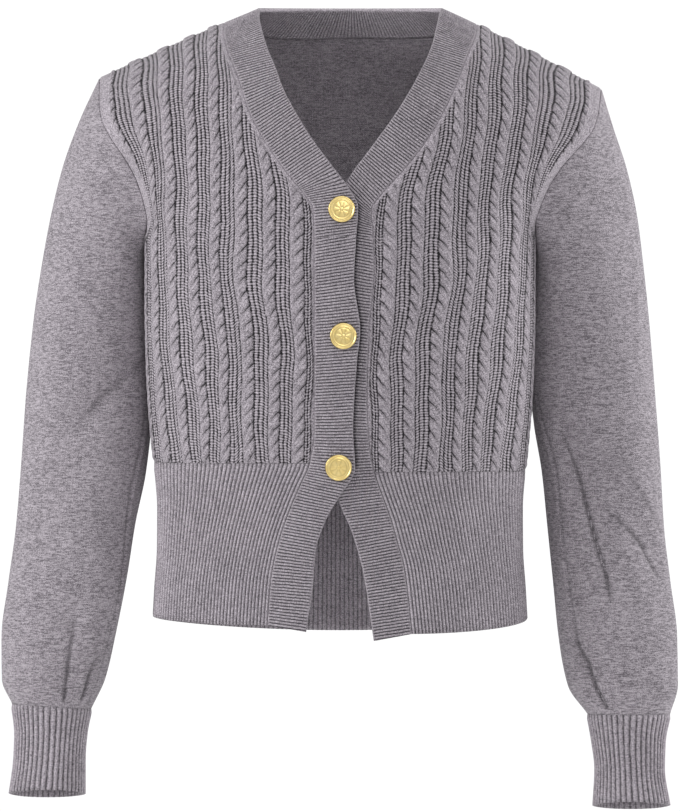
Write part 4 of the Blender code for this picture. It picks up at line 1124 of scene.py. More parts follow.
def knit_material(name, yarn, stitch="plain", streaks=1.0, tone=1.0, grain=2.8, depth=0.8):
    """Heather yarn in plain, cable or ribbed stitches, laid out on the mesh's knit coordinates, with painted
    shade between stitches and in grooves; depth sets the painted shade on the ribs' sides.
    """
    material, shader, where = new_material(name)
    tree = material.node_tree
    laid = add_node(tree, "SeparateXYZ", add_node(tree, "UVMap", uv_map="knit").outputs[0])
    bent = spots(where, BEND_SPOTS, detail=1.0) - 0.5
    across = Value(laid.outputs[0]) + bent * (0.07 if stitch == "cable" else 0.9)
    along = Value(laid.outputs[1]) - bent * 1.6
    groove, ladder, patterned = relief_values(tree)

    # Heather: fibres of several greys, drawn out along the rows
    fibre = spots(where, yarn.fleck_scale, detail=3.0)
    broken = spots(where, BROKEN_SPOTS, detail=1.0)
    drawn = spots(where, yarn.streak_scale, STREAK_STRETCH, detail=3.0)
    cloud = spots(where, yarn.cloud_scale)
    streaked = (drawn - 0.5) * (STREAK_CONTRAST * streaks)
    mottle = (fibre - 0.5) * grain + streaked + (cloud - 0.5) * CLOUD_CONTRAST
    mottle = (mottle * yarn.heather + 0.5).clamped()
    colour = blend(mottle, toned(yarn.dark, tone), toned(yarn.light, tone))

    # Stitches, with the painted shade between them
    if stitch == "cable":
        count = across * STITCHES_A_PLACE
    else:
        count = across / (RIB_STITCH if stitch == "rib" else yarn.stitch_width * MM)
    half = abs(count.fraction() - 0.5)
    sides = (half * 2.0) ** 3.0
    slanted = along + half * (yarn.stitch_height * MM * 1.4)
    vees = ripple(slanted, yarn.stitch_height * MM) * (1.0 - sides)
    between = 1.0 - vees
    fuzz = spots(where, FUZZ_SPOTS, detail=3.0)
    if stitch == "cable":
        purl = ripple(along, yarn.purl_height * MM)
        # Painted shade: dark hollows between purl bumps, lines beside the wales, strokes and strand lines
        hollow = ((1.0 - purl) * ladder) ** 1.5
        lines = ladder_lines(across) * patterned * (broken * 2.4 - 0.45 + hollow * 0.5)
        hollow = hollow * (broken * 1.6 + 0.1)
        plain = 1.0 - ladder
        strokes, strands = (part * (plain * patterned) for part in cable_strokes(across, along))
        strokes = strokes * (broken * 1.4 + 0.3)
        strands = strands * (broken * 1.6 - 0.3)
        painted_gap_shade = lines * 1.2 + hollow * 0.7 + strokes * 1.15 + strands * 0.55 + groove * 0.1
        painted_gap_shade = painted_gap_shade + between * plain * yarn.stitch_shade
        # Painted highlight: the tops of the purl bumps are blended toward a lighter yarn colour
        colour = blend(purl * ladder * 0.4, colour, toned(yarn.light, 1.3))
        height = vees * plain + purl * ladder * 1.6 - lines * 1.5 - strokes * 1.8 - strands * 0.8
    elif stitch == "rib":
        # Painted shade on the sides of the ribs and between their stitches
        sides = sides * patterned * (broken * 1.6 + 0.25)
        # On the under band the ladder slot holds the painted shadow beside the top band's free edge
        painted_gap_shade = sides * depth + groove * 0.1 + between * yarn.stitch_shade + ladder * 0.9
        height = vees - sides
    else:
        painted_gap_shade = groove * 1.2 + between * (yarn.stitch_shade * 1.5)
        height = vees
    # Painted shade: the yarn is darkened toward DEEP_SHADE where shade falls between and beside raised
    # stitches
    finish_shader(
        shader,
        Base_Color=blend((painted_gap_shade * yarn.groove_shade).clamped(), colour, DEEP_SHADE),
        Normal=bumped(height + fuzz * 0.5, yarn.bump, 0.0006),
        Roughness=fibre * 0.15 + 0.82,
        Sheen_Weight=0.18,
        Sheen_Roughness=0.5,
        Specular_IOR_Level=0.2,
    )
    return material


def gold_material(name, metal):
    """Pale gold plate with soft wear, fine scratches and painted shade from the button's relief values."""
    material, shader, where = new_material(name)
    scratches = spots(where, 1500.0, (0.2, 1.0, 1.0), 3.0)
    colour = blend(spots(where, 260.0), (*metal.colour_deep, 1.0), (*metal.colour, 1.0))
    # The relief's first value darkens the plate toward dark gold as painted shade
    finish_shader(
        shader,
        Base_Color=blend(relief_values(material.node_tree)[0] * 0.75, colour, (0.16, 0.10, 0.025, 1.0)),
        Roughness=scratches * 0.22 + (metal.roughness - 0.1),
        Normal=bumped(scratches, 0.12, 0.0002),
        Metallic=1.0,
    )
    return material


# Cable fronts


def ladder_turns(side, levels):
    """Turns of the ladder centres on each level, in columns from the armhole or side edge to the middle."""
    edge = armhole_turn(side, levels, False)
    turns = [edge]
    for column in Wales._fields[2:]:
        x = np.full(len(levels), side * 100.0)
        for _ in range(10):
            z = seen_z(x, levels)
            x = read(WALES, "drift", z) + side * read(WALES, column, z)
        turns.append(turn_at(x, levels))
    turns.insert(1, (turns[0] + turns[1]) / 2)
    return np.stack(turns, axis=1)


def seam_turns(front, levels):
    """Turns of a front's band seam on each level."""
    x = np.full(len(levels), float(front.band[-1].seam_x))
    for _ in range(16):
        x = seam_x(front, seen_z(x, levels))
    return front_place(x, seen_z(x, levels))[0]


def cable_lobes(cable, along):
    """Heights of a cable, and the strength of the painted shade strokes where its strands cross; cable runs
    from -1 to 1 toward the middle of the front.
    """
    phase = along / CROSSING - STROKE_RISE * cable - STROKE_BEND * (1 - cable**2)
    lobe = np.abs(np.sin(np.pi * phase))
    strength = ease((cable + 0.85) / 1.2)
    away = (phase - np.round(phase)) * CROSSING / STROKE_WIDTH
    stroke = np.exp(-(away**2)) * strength
    rounding = np.sqrt(np.clip(1 - np.abs(cable) ** 3.5, 0, 1))
    strands = 0.05 * np.cos(6 * np.pi * phase)
    return rounding * (1 - 0.55 * strength * (1 - lobe**0.55) - 0.15 * (1 - lobe) + strands), stroke


def uneven(place, along):
    """Places and lengths with the small unevenness of real knitting, different in each cable."""
    cable = np.floor(place)
    share = ease((place - cable) / LADDER_REACH)
    shift = CABLE_SHIFT * (np.sin(2.1 * cable) * share + np.sin(2.1 * (cable - 1)) * (1 - share))
    sway = np.sin(along / 8.7 + 1.9 * place) + 0.9 * np.sin(along / 15.3 + 0.8 * place)
    return place + LADDER_SWAY * sway, along + shift + 1.2 * np.sin(along / 31.0 + 1.7 * place)


def cable_relief(place, along, plain):
    """Heights and relief values of the fronts' knitting."""
    ladder = np.clip(np.round(place), 1, LADDER_COUNT)
    off = place - ladder
    last = ladder == LADDER_COUNT
    reach = np.where(last, LAST_LADDER_REACH, LADDER_REACH)
    in_ladder = np.abs(off) < reach
    wave = np.abs(np.sin(np.pi * np.where(last, off / reach, off / reach * 1.5 + 0.5)))
    wale_height = 0.42 * wave**0.6
    wider = (LADDER_REACH - LAST_LADDER_REACH) / 2 * (place > LADDER_COUNT - 1)
    cable = np.clip((place - np.floor(place) - 0.5 - wider) / (0.5 - LADDER_REACH + wider), -1, 1)
    lobe, stroke = cable_lobes(cable, along)
    height = np.where(in_ladder, wale_height, 0.2 + 0.8 * lobe)
    edge = ease((np.abs(cable) - 0.72) / 0.28)
    # groove is painted shade: between purl wales, in the strokes where strands cross and at the cables' edges
    groove = np.where(in_ladder, (1 - wave) ** 1.2, np.maximum(stroke * 0.9, edge * 0.7))
    keep = 1 - plain
    return height * keep + 0.35 * plain, np.stack([groove * keep, in_ladder * keep, keep], axis=2)


def front_piece(name, front, node, yarn, material, flat):
    side = front.side
    low = front.hem.top + SEAM_GAP / 2 - UNDERARM_Z
    high_length = lengths(body(ROW_TURN, np.linspace(0, 1, 100)))[-1]
    high = even_levels(ROW_TURN, 0.0, 1 - RIDGE_GAP, round(high_length / FRONT_STEP))
    levels = np.concatenate([np.linspace(low, 0, round(-low / FRONT_STEP) + 1)[:-1], high])
    along = lengths(body(ROW_TURN, levels))
    known = ladder_turns(side, levels)
    seam = seam_turns(front, levels)
    seam = seam + side * np.degrees(SEAM_GAP / 2 / half_width(levels))
    edge = known[:, 0].copy()
    below = levels < 0
    edge[below] -= side * np.degrees(SEAM_GAP / 2 / read(BODY, "front_depth", UNDERARM_Z + levels[below]))
    shares = np.linspace(0, 1, FRONT_COLUMNS + 1)
    turns = np.stack([even_turns(a, b, level, shares) for a, b, level in zip(edge, seam, levels)])
    last = np.minimum(known[:, -1] * side, seam * side) * side - side * OVERSHOOT
    wales = np.concatenate([known, last[:, None]], axis=1)
    count = np.arange(LADDER_COUNT + 2.0)
    places = np.stack([np.interp(-side * row, -side * wale, count) for row, wale in zip(turns, wales)])
    grid_levels = np.repeat(levels[:, None], len(shares), axis=1)
    surface = body(turns, grid_levels)
    normal = body_normal(turns, grid_levels)
    steps = np.linalg.norm(np.diff(surface, axis=1), axis=2)
    from_edge = np.concatenate([np.zeros((len(levels), 1)), np.cumsum(steps, axis=1)], axis=1)
    from_seam = from_edge[:, -1:] - from_edge
    margin = np.where(levels > 0, ARMHOLE_MARGIN, SIDE_MARGIN)[:, None]
    plain = 1 - ease((from_edge - margin) / 3)
    beside = (0.1 + NECK_MARGIN * ease((levels - 0.02) / 0.1))[:, None]
    plain = np.maximum(plain, 1 - ease((from_seam - beside) / 0.9))
    grid_along = np.repeat(along[:, None], len(shares), axis=1)
    places, grid_along = uneven(places, grid_along)
    height, relief = cable_relief(places, grid_along, plain)
    fade = ease(from_edge / 1.5) * ease(from_seam / 1.5)
    fade = fade * (0.3 + 0.7 * ease((levels - low) / 5.0))[:, None]
    fade = fade * (0.5 + 0.5 * ease((1 - levels) / 0.04))[:, None]
    outer_points = surface + normal * (height * fade * yarn.cable_height * MM)[..., None]
    cloth = Cloth()
    laid = np.stack([places, grid_along], axis=2)
    outer = cloth.grid(outer_points, laid, relief)
    rows = np.unique(np.append(np.arange(0, len(levels), INNER_EVERY), len(levels) - 1))
    columns = np.unique(np.append(np.arange(0, len(shares), INNER_EVERY), len(shares) - 1))
    inner = cloth.grid((surface - normal * PANEL_WALL)[rows][:, columns], laid[rows][:, columns])
    cloth.rim(outer, inner)
    dress(build_mesh(name, cloth, material), node, flat)


# Back


def back_piece(material):
    low = HEM_BACK.top + SEAM_GAP / 2 - UNDERARM_Z
    beyond = np.linspace(2, 1, 34)
    inside = np.sin(np.radians(np.linspace(90, -90, 61)))
    shares = np.concatenate([beyond[:-1], inside, -beyond[::-1][1:]])
    top = np.where(np.abs(shares) < 1, neck_level(np.clip(np.abs(shares), 0, 1)), 1 - RIDGE_GAP)
    low_levels = np.linspace(low, 0, 42)[:-1]
    steps = even_levels(180 - ROW_TURN, 0.0, 1.0, 56)
    levels = np.concatenate(
        [
            np.repeat(low_levels[:, None], len(shares), axis=1),
            [step * (1 - RIDGE_GAP - (1 - RIDGE_GAP - top) * step**2) for step in steps],
        ]
    )
    corner = neck_turn()
    edge = 180 - armhole_turn(1, levels, True)
    gap = np.degrees(SEAM_GAP / 2 / read(BODY, "back_depth", UNDERARM_Z + np.minimum(levels, 0).ravel()))
    edge = edge - np.where(levels < 0, gap.reshape(levels.shape), 0.0)
    out = np.clip(np.abs(shares) - 1, 0, 1)
    near = np.clip(np.abs(shares), 0, 1)
    turns = 180 - np.sign(shares) * (corner * near + (edge - corner) * out)
    surface, normal = body(turns, levels), body_normal(turns, levels)
    surface = surface - normal * back_depth(surface[..., 0], surface[..., 2])[..., None]
    laid = np.stack([surface[..., 0], surface[..., 2]], axis=2)
    cloth = Cloth()
    outer = cloth.grid(surface, laid)
    inner = cloth.grid(surface - normal * PANEL_WALL, laid)
    cloth.rim(outer, inner)
    dress(build_mesh("back_plain_knit", cloth, material), "back_panel", FLAT_BACK)


def back_depth(across, up):
    """How far the back's creases press in points at places across and up."""
    depth = np.zeros_like(across)
    for crease in BACK_CREASES:
        share, away = from_line((crease.x, crease.z), (crease.end_x, crease.end_z), across, up)
        fade = np.sin(np.pi * np.clip(share * 0.9 + 0.05, 0, 1)) ** 0.6
        depth += crease.depth * np.exp(-((away / crease.half_width) ** 2)) * fade
    return depth


# Hems


def rib_profile(place):
    """Height from 0 to 1 over ribs counted by place, with a rounded top and a narrow groove."""
    wave = 0.5 + 0.5 * np.cos(2 * np.pi * (place - 0.5))
    return wave**0.7


def rib_grid(cloth, surface, normal, place, along, height, wall, closed=False):
    """Adds ribbed outer and inner faces to a wall; the ribs of one face are the grooves of the other."""
    laid = np.stack([place * RIB_STITCH, along], axis=2)
    if closed:
        extra = laid[:, :1].copy()
        extra[..., 0] = (np.round(place[:, -1:] + 0.5)) * RIB_STITCH
        laid = np.concatenate([laid, extra], axis=1)
    rib = rib_profile(place)
    outer = cloth.grid(surface + normal * (rib * height)[..., None], laid, shaded(rib), closed=closed)
    rib = rib_profile(place + 0.5)[:, ::INNER_RIB_EVERY]
    inside = (surface - normal * wall)[:, ::INNER_RIB_EVERY]
    inside = inside + normal[:, ::INNER_RIB_EVERY] * ((1 - rib) * 0.5 * height)[..., None]
    inner_laid = laid[:, ::INNER_RIB_EVERY]
    inner = cloth.grid(inside, inner_laid, shaded(rib), closed=closed)
    return outer, inner


def shaded(rib, patterned=1.0):
    """Relief values of a ribbed face: how deep each point lies between its ribs, which the material paints as
    shade, and how far it has ribs.
    """
    groove = np.clip(1 - rib * 1.1, 0, 1) ** 1.1
    return np.stack([groove * patterned, np.zeros_like(groove), np.zeros_like(groove) + patterned], axis=2)


def hem_piece(name, node, material, hem, ends, share_of, count, yarn, flat):
    """A ribbed hem between two turns; ends gives them on a level, share_of the share toward the middle."""
    shares = np.linspace(0, 1, round(count * RIB_COLUMNS * 1.3) + 1)
    top = hem.top - SEAM_GAP / 2 - UNDERARM_Z
    lowest = min(hem.side_bottom, hem.middle_bottom) - UNDERARM_Z - 2
    known = np.linspace(lowest, top, 26)
    table = np.stack([even_turns(*ends(level), level, shares) for level in known])
    bottom = hem_bottom(hem, share_of(shares)) - UNDERARM_Z
    down = np.linspace(0, 1, HEM_STEPS + 1)[:, None]
    levels = top + (bottom[None, :] - top) * down
    slot = np.clip((levels - lowest) / (top - lowest) * 25, 0, 24.999)
    index = slot.astype(int)
    rest = slot - index
    column = np.arange(len(shares))[None, :]
    turns = table[index, column] * (1 - rest) + table[index + 1, column] * rest
    surface, normal = body(turns, levels), body_normal(turns, levels)
    seen = np.concatenate([[0], np.cumsum(np.abs(np.diff(surface[HEM_STEPS // 2, :, 0])))])
    place = count * (shares + (seen / seen[-1] - shares) * HEM_EVENNESS)
    place = np.repeat(place[None, :], HEM_STEPS + 1, axis=0)
    cloth = Cloth()
    fade = 1 - 0.5 * (1 - ease(down / 0.03))
    outer, inner = rib_grid(cloth, surface, normal, place, -levels, yarn.rib_height * MM * fade, HEM_WALL)
    cloth.rim(outer, inner)
    dress(build_mesh(name, cloth, material), node, flat)


def front_hem_ends(front):
    def ends(level):
        z = level + UNDERARM_Z
        edge = front.side * (90 - math.degrees(SEAM_GAP / 2 / read(BODY, "front_depth", z)))
        seam = float(seam_turns(front, np.array([level]))[0])
        return edge, seam + front.side * math.degrees(SEAM_GAP / 2 / read(BODY, "half_width", z))

    return ends


def back_hem_ends(level):
    inset = math.degrees(SEAM_GAP / 2 / read(BODY, "back_depth", level + UNDERARM_Z))
    return 90 + inset, 270 - inset


# Bands


def painted_edge_shadow(front, surface):
    """Painted shadow on the band beside the free edge of a band that lies on it, 0 to 1."""
    if front.lift > 0:
        return 0.0
    edge = read(TOP_BAND, "free_x", surface[..., 2].ravel()).reshape(surface.shape[:2])
    past = surface[..., 0] - edge
    overlap = read(OVERLAP, "share", surface[..., 2].ravel()).reshape(surface.shape[:2])
    return overlap * np.where(past < 0, 1.0, np.exp(-((past / EDGE_SHADE) ** 2)))


def band_piece(name, node, front, centres, yarn, material):
    columns = np.linspace(0, 1, BAND_ACROSS + 1)
    left, right = (int(np.argmin(np.abs(columns - edge))) for edge in (BUTTONHOLE_START, BUTTONHOLE_END))
    surface = band_points(front, front.heights, columns, 0.0)
    turn, level = front_place(surface[..., 0], surface[..., 2])
    normal = body_normal(turn, np.minimum(level, 1 - RIDGE_GAP))
    middle = lengths(surface[:, BAND_ACROSS // 2])
    count = round(middle[-1] / BAND_RIB)
    place = np.repeat((middle / middle[-1] * count)[:, None], BAND_ACROSS + 1, axis=1)
    place = place - columns * np.interp(front.heights, *np.array(RIB_SLANT).T)[:, None] / BAND_RIB
    inside = ease(columns / 0.06) * ease((1 - columns) / 0.05)
    rib = 1 - (1 - rib_profile(place)) * inside
    wall = Cloth()
    laid = laid_out(place * RIB_STITCH, columns * BAND_WIDTH)
    outer_points = surface + normal * (rib * yarn.band_rib_height * MM)[..., None]
    inner_points = band_points(front, front.heights, columns, BAND_WALL)
    holes = []
    for centre in centres:
        low, high = (int(np.argmin(np.abs(front.heights - centre - off))) for off in (-HOLE, HOLE))
        holes.append((low, high, left, right))
    relief = shaded(rib, inside)
    # Painted shadow of the top band's free edge, carried in the relief's ladder slot
    relief[..., 1] = painted_edge_shadow(front, surface)
    outer = wall.grid(outer_points, laid, relief, holes=holes)
    inner = wall.grid(inner_points, laid, shaded(rib, inside), holes=holes)
    wall.rim(outer, inner)
    for low, high, left, right in holes:
        loops = []
        for grid in (outer, inner):
            loop = [*grid[low, left:right], *grid[low:high, right]]
            loop += [*grid[high, right:left:-1], *grid[high:low:-1, left]]
            loops.append(np.array(loop + loop[:1]))
        wall.join(*loops)
    dress(build_mesh(name, wall, material), node, FLAT_BAND)


def neckband_piece(yarn, material):
    share = np.sin(np.radians(np.linspace(-90, 90, NECKBAND_STEPS)))
    length = lengths(neckband_points(share, 0.5))
    even = np.interp(np.linspace(0, length[-1], NECKBAND_STEPS), length, share)
    across = np.linspace(0, 1, NECKBAND_ROWS)
    surface = np.stack([neckband_points(even, one) for one in across])
    normal = unit(np.cross(np.gradient(surface, axis=0), np.gradient(surface, axis=1)))
    for end, inward in ((0, 3), (-1, -4)):
        surface[:, end, 1] -= SEAM_GAP / 2
        normal[:, end] = normal[:, inward]
    count = round(length[-1] / BAND_RIB)
    place = np.repeat(np.linspace(0, count, NECKBAND_STEPS)[None, :], len(across), axis=0)
    inside = ease(np.minimum(across, 1 - across) / 0.06)[:, None]
    rib = 1 - (1 - rib_profile(place)) * inside
    laid = laid_out(place * RIB_STITCH, across[:, None] * BAND_WIDTH)
    wall = Cloth()
    high = (rib * yarn.band_rib_height * MM)[..., None]
    outer = wall.grid(surface + normal * high, laid, shaded(rib, inside))
    inner = wall.grid(surface - normal * (BAND_WALL - 0.4) - normal * high, laid, shaded(rib, inside * 0.5))
    wall.rim(outer, inner)
    dress(build_mesh("neckband_ribbed", wall, material), "neckband_back", FLAT_NECKBAND)


# Sleeves and cuffs


def sleeve_piece(name, node, side, cuts, folds, creases, yarn, material):
    surface = sleeve_surface(side, cuts, folds)
    along = np.linspace(0, 1, SLEEVE_STEPS + 1) ** 1.08
    around = np.linspace(0, 360, SLEEVE_AROUND, endpoint=False)
    points = surface(along, around)
    normal = -side * tube_normal(surface, along, around)
    normal[0] = armhole_mitre(side, cuts, around)
    pressed = crease_height(creases, along, around)
    outer_points = points + normal * (pressed * yarn.crease_height)[..., None]
    wide = np.append(around, 360) * SLEEVE_GIRTH / 360
    laid = np.stack(np.meshgrid(wide, along * SLEEVE_LENGTH), axis=2)
    # Painted shade in the creases: the deeper a crease, the darker the yarn there
    groove = np.clip(-pressed / 2.5, 0, 0.55)
    cloth = Cloth()
    relief = np.stack([groove, np.zeros_like(groove), np.zeros_like(groove)], axis=2)
    outer = cloth.grid(outer_points, laid, relief, closed=True)
    picked = np.arange(0, SLEEVE_AROUND, INNER_SLEEVE_COLUMNS)
    rows = np.unique(np.append(np.arange(0, SLEEVE_STEPS + 1, INNER_SLEEVE_ROWS), SLEEVE_STEPS))
    inner_points = (points - normal * SLEEVE_WALL)[rows][:, picked]
    inner_laid = laid[rows][:, np.append(picked, SLEEVE_AROUND)]
    inner = cloth.grid(inner_points, inner_laid, closed=True)
    cloth.close_tube(outer, inner)
    dress(build_mesh(name, cloth, material), node, FLAT_SLEEVE)


def cuff_piece(name, node, side, cuts, yarn, material):
    surface = cuff_surface(side, cuts)
    columns = CUFF_RIBS * CUFF_RIB_COLUMNS
    along = np.linspace(0, 1, CUFF_STEPS + 1)
    around = np.linspace(0, 360, columns, endpoint=False)
    points = surface(along, around)
    normal = -side * tube_normal(surface, along, around)
    place = np.repeat(np.arange(columns)[None, :] / CUFF_RIB_COLUMNS, CUFF_STEPS + 1, axis=0)
    cloth = Cloth()
    down = np.repeat(along[:, None] * CUFF_LENGTH, columns, axis=1)
    height = yarn.rib_height * MM * ease(along / 0.06)[:, None]
    outer, inner = rib_grid(cloth, points, normal, place, down, height, CUFF_WALL, closed=True)
    cloth.close_tube(outer, inner)
    dress(build_mesh(name, cloth, material), node, FLAT_CUFF)


# Buttons


def button_piece(name, node, front, centre, metal, material):
    """A domed button with a raised rim, a plain rosette and a shank through its buttonhole."""
    share = (BUTTONHOLE_START + BUTTONHOLE_END) / 2
    seat = band_points(front, [centre], [share], 0.0)[0, 0]
    axis = -body_normal(*front_place(seat[0], seat[2]))
    right = unit(np.cross(axis, [0.0, 0.0, 1.0]))
    up = np.cross(right, axis)
    reach = BAND_WALL + BUTTON_REACH
    top = BUTTON_BACK + BUTTON_THICKNESS
    rim = metal.rim_width * MM
    inside = BUTTON_RADIUS - rim
    profile = [
        (SHANK_RADIUS, -reach), (SHANK_RADIUS, BUTTON_BACK * 0.6), (SHANK_RADIUS + 0.6, BUTTON_BACK),
        (BUTTON_RADIUS - 1.6, BUTTON_BACK + 0.05), (BUTTON_RADIUS - 0.6, BUTTON_BACK + 0.3),
        (BUTTON_RADIUS - 0.1, BUTTON_BACK + 0.8), (BUTTON_RADIUS, top - 1.0),
        (BUTTON_RADIUS - 0.15, top - 0.4),
        (BUTTON_RADIUS - 0.5, top - 0.1), (BUTTON_RADIUS - 0.9, top), (inside + 0.3, top - 0.15),
        (inside, top - 0.45), (inside - 0.3, top - 0.55),
    ]
    dome = [(inside - 0.3) * (1 - step / DOME_STEPS) for step in range(1, DOME_STEPS)]
    profile += [(radius, top - 0.55 + 0.5 * (1 - (radius / inside) ** 2)) for radius in dome]
    radii = np.array([radius for radius, _ in profile])[:, None]
    outs = np.array([out for _, out in profile])[:, None]
    angles = np.linspace(0, 2 * math.pi, BUTTON_SIDES, endpoint=False)[None, :]
    on_dome = (np.arange(len(profile)) > 12)[:, None]
    petals = np.abs(np.cos(4 * angles)) ** 0.7
    ring = np.exp(-(((radii - inside * 0.84) / 0.35) ** 2)) * 0.28
    flower = ease((inside * 0.72 - radii) / 0.8) * ease((radii - 1.2) / 1.0) * petals * 0.2
    bead = 0.3 * np.sqrt(np.clip(1 - (radii / 1.3) ** 2, 0, 1))
    raised = np.where(on_dome, ring + flower + bead, 0.0)
    outs = outs + raised
    spokes = right * np.cos(angles)[..., None] + up * np.sin(angles)[..., None]
    points = seat - axis * outs[..., None] + spokes * radii[..., None]
    cloth = Cloth()
    laid = np.zeros((len(profile), BUTTON_SIDES + 1, 2))
    # Painted shade: darker in the dome's low places between ring, petals and bead, and a dark outline round
    # the rim's edge
    shade = np.where(on_dome, np.clip(1 - raised / 0.2, 0, 1) * 0.3, 0.0) * np.ones_like(angles)
    shade = np.maximum(shade, ease((radii - BUTTON_RADIUS + 0.55) / 0.4) * 0.95)
    grid = cloth.grid(points, laid, np.stack([shade, shade * 0, shade * 0], axis=2), closed=True)
    for ring_index, out in ((0, -reach), (len(profile) - 1, top - 0.05 + 0.3)):
        tip = cloth.grid((seat - axis * out)[None, None, :], np.zeros((1, 1, 2)))[0, 0]
        for first, second in zip(grid[ring_index], grid[ring_index][1:]):
            cloth.triangles.append([first, second, tip])
    dress(build_mesh(name, cloth, material), node)


# Operators


def make_front(side, band, hem, lift):
    """A front whose band has fine rows along its seam."""
    fine = np.linspace(hem.middle_bottom, band[-1].seam_z, 2000)
    length = lengths(body(*front_place(read(band, "seam_x", fine), fine)))
    heights = np.interp(np.linspace(0, length[-1], round(length[-1] / BAND_STEP_LENGTH) + 1), length, fine)
    return Front(side, band, hem, lift, heights)


RIGHT = make_front(-1, TOP_BAND, HEM_RIGHT, BAND_LIFT)
LEFT = make_front(1, UNDER_BAND, HEM_LEFT, -BAND_SINK)


class Making:
    """What the operators share."""

    def execute(self, context):
        self.make(context.scene)
        return {"FINISHED"}


class CARDIGAN_OT_fronts(Making, bpy.types.Operator):
    """Knits both cable fronts"""

    bl_idname = "cardigan.fronts"
    bl_label = "Cable fronts"

    def make(self, scene):
        yarn = scene.cardigan_yarn
        material = knit_material("heather_cable_knit", yarn, "cable", streaks=0.5, tone=1.2, grain=3.6)
        for word, front, flat in (("right", RIGHT, FLAT_FRONT_RIGHT), ("left", LEFT, FLAT_FRONT_LEFT)):
            front_piece(f"front_{word}_cable_knit", front, f"front_{word}_panel", yarn, material, flat)


class CARDIGAN_OT_back(Making, bpy.types.Operator):
    """Knits the plain back"""

    bl_idname = "cardigan.back"
    bl_label = "Plain back"

    def make(self, scene):
        back_piece(knit_material("heather_back_knit", scene.cardigan_yarn))


class CARDIGAN_OT_sleeves(Making, bpy.types.Operator):
    """Knits both sleeves with their creases"""

    bl_idname = "cardigan.sleeves"
    bl_label = "Sleeves"

    def make(self, scene):
        yarn = scene.cardigan_yarn
        material = knit_material("heather_sleeve_knit", yarn, streaks=1.5, tone=1.04)
        for side, word, cuts, folds, creases in (
            (-1, "right", SLEEVE_RIGHT, FOLDS_RIGHT, CREASES_RIGHT),
            (1, "left", SLEEVE_LEFT, FOLDS_LEFT, CREASES_LEFT),
        ):
            sleeve_piece(f"sleeve_{word}_knit", f"sleeve_{word}", side, cuts, folds, creases, yarn, material)


class CARDIGAN_OT_ribs(Making, bpy.types.Operator):
    """Knits the ribbed hems and cuffs"""

    bl_idname = "cardigan.ribs"
    bl_label = "Hems and cuffs"

    def make(self, scene):
        yarn = scene.cardigan_yarn
        material = knit_material("heather_rib_knit", yarn, "rib", streaks=0.6, tone=1.25)
        for word, front in (("right", RIGHT), ("left", LEFT)):
            hem_piece(
                f"hem_{word}_ribbed", f"hem_front_{word}", material, front.hem, front_hem_ends(front),
                lambda share: share, FRONT_HEM_RIBS, yarn, FLAT_HEM_FRONT,
            )
        hem_piece(
            "hem_back_ribbed", "hem_back", material, HEM_BACK, back_hem_ends,
            lambda share: 1 - np.abs(2 * share - 1), BACK_HEM_RIBS, yarn, FLAT_HEM_BACK,
        )
        cuff_piece("cuff_right_ribbed", "cuff_right", -1, CUFF_RIGHT, yarn, material)
        cuff_piece("cuff_left_ribbed", "cuff_left", 1, CUFF_LEFT, yarn, material)


class CARDIGAN_OT_bands(Making, bpy.types.Operator):
    """Knits the front bands and the band round the back of the neck"""

    bl_idname = "cardigan.bands"
    bl_label = "Bands"

    def make(self, scene):
        yarn = scene.cardigan_yarn
        material = knit_material("heather_band_knit", yarn, "rib", streaks=0.3, tone=1.22, depth=1.35)
        band_piece("band_right_ribbed", "band_front_right", RIGHT, BUTTON_HEIGHTS, yarn, material)
        band_piece("band_left_ribbed", "band_front_left", LEFT, (), yarn, material)
        # Painted light: the neckband's copy of the band yarn is toned 1.5 rather than 1.22, lighter to stand
        # in for light reaching inside the neck
        material = knit_material("heather_neckband_knit_painted_light", yarn, "rib", streaks=0.3, tone=1.5, depth=1.35)
        neckband_piece(yarn, material)


class CARDIGAN_OT_buttons(Making, bpy.types.Operator):
    """Makes the three gold shank buttons"""

    bl_idname = "cardigan.buttons"
    bl_label = "Buttons"

    def make(self, scene):
        metal = scene.cardigan_metal
        material = gold_material("pale_gold_plate", metal)
        for number, centre in reversed([*enumerate(BUTTON_HEIGHTS, start=1)]):
            button_piece(f"button_{number}_domed", f"button_{number}", RIGHT, centre, metal, material)


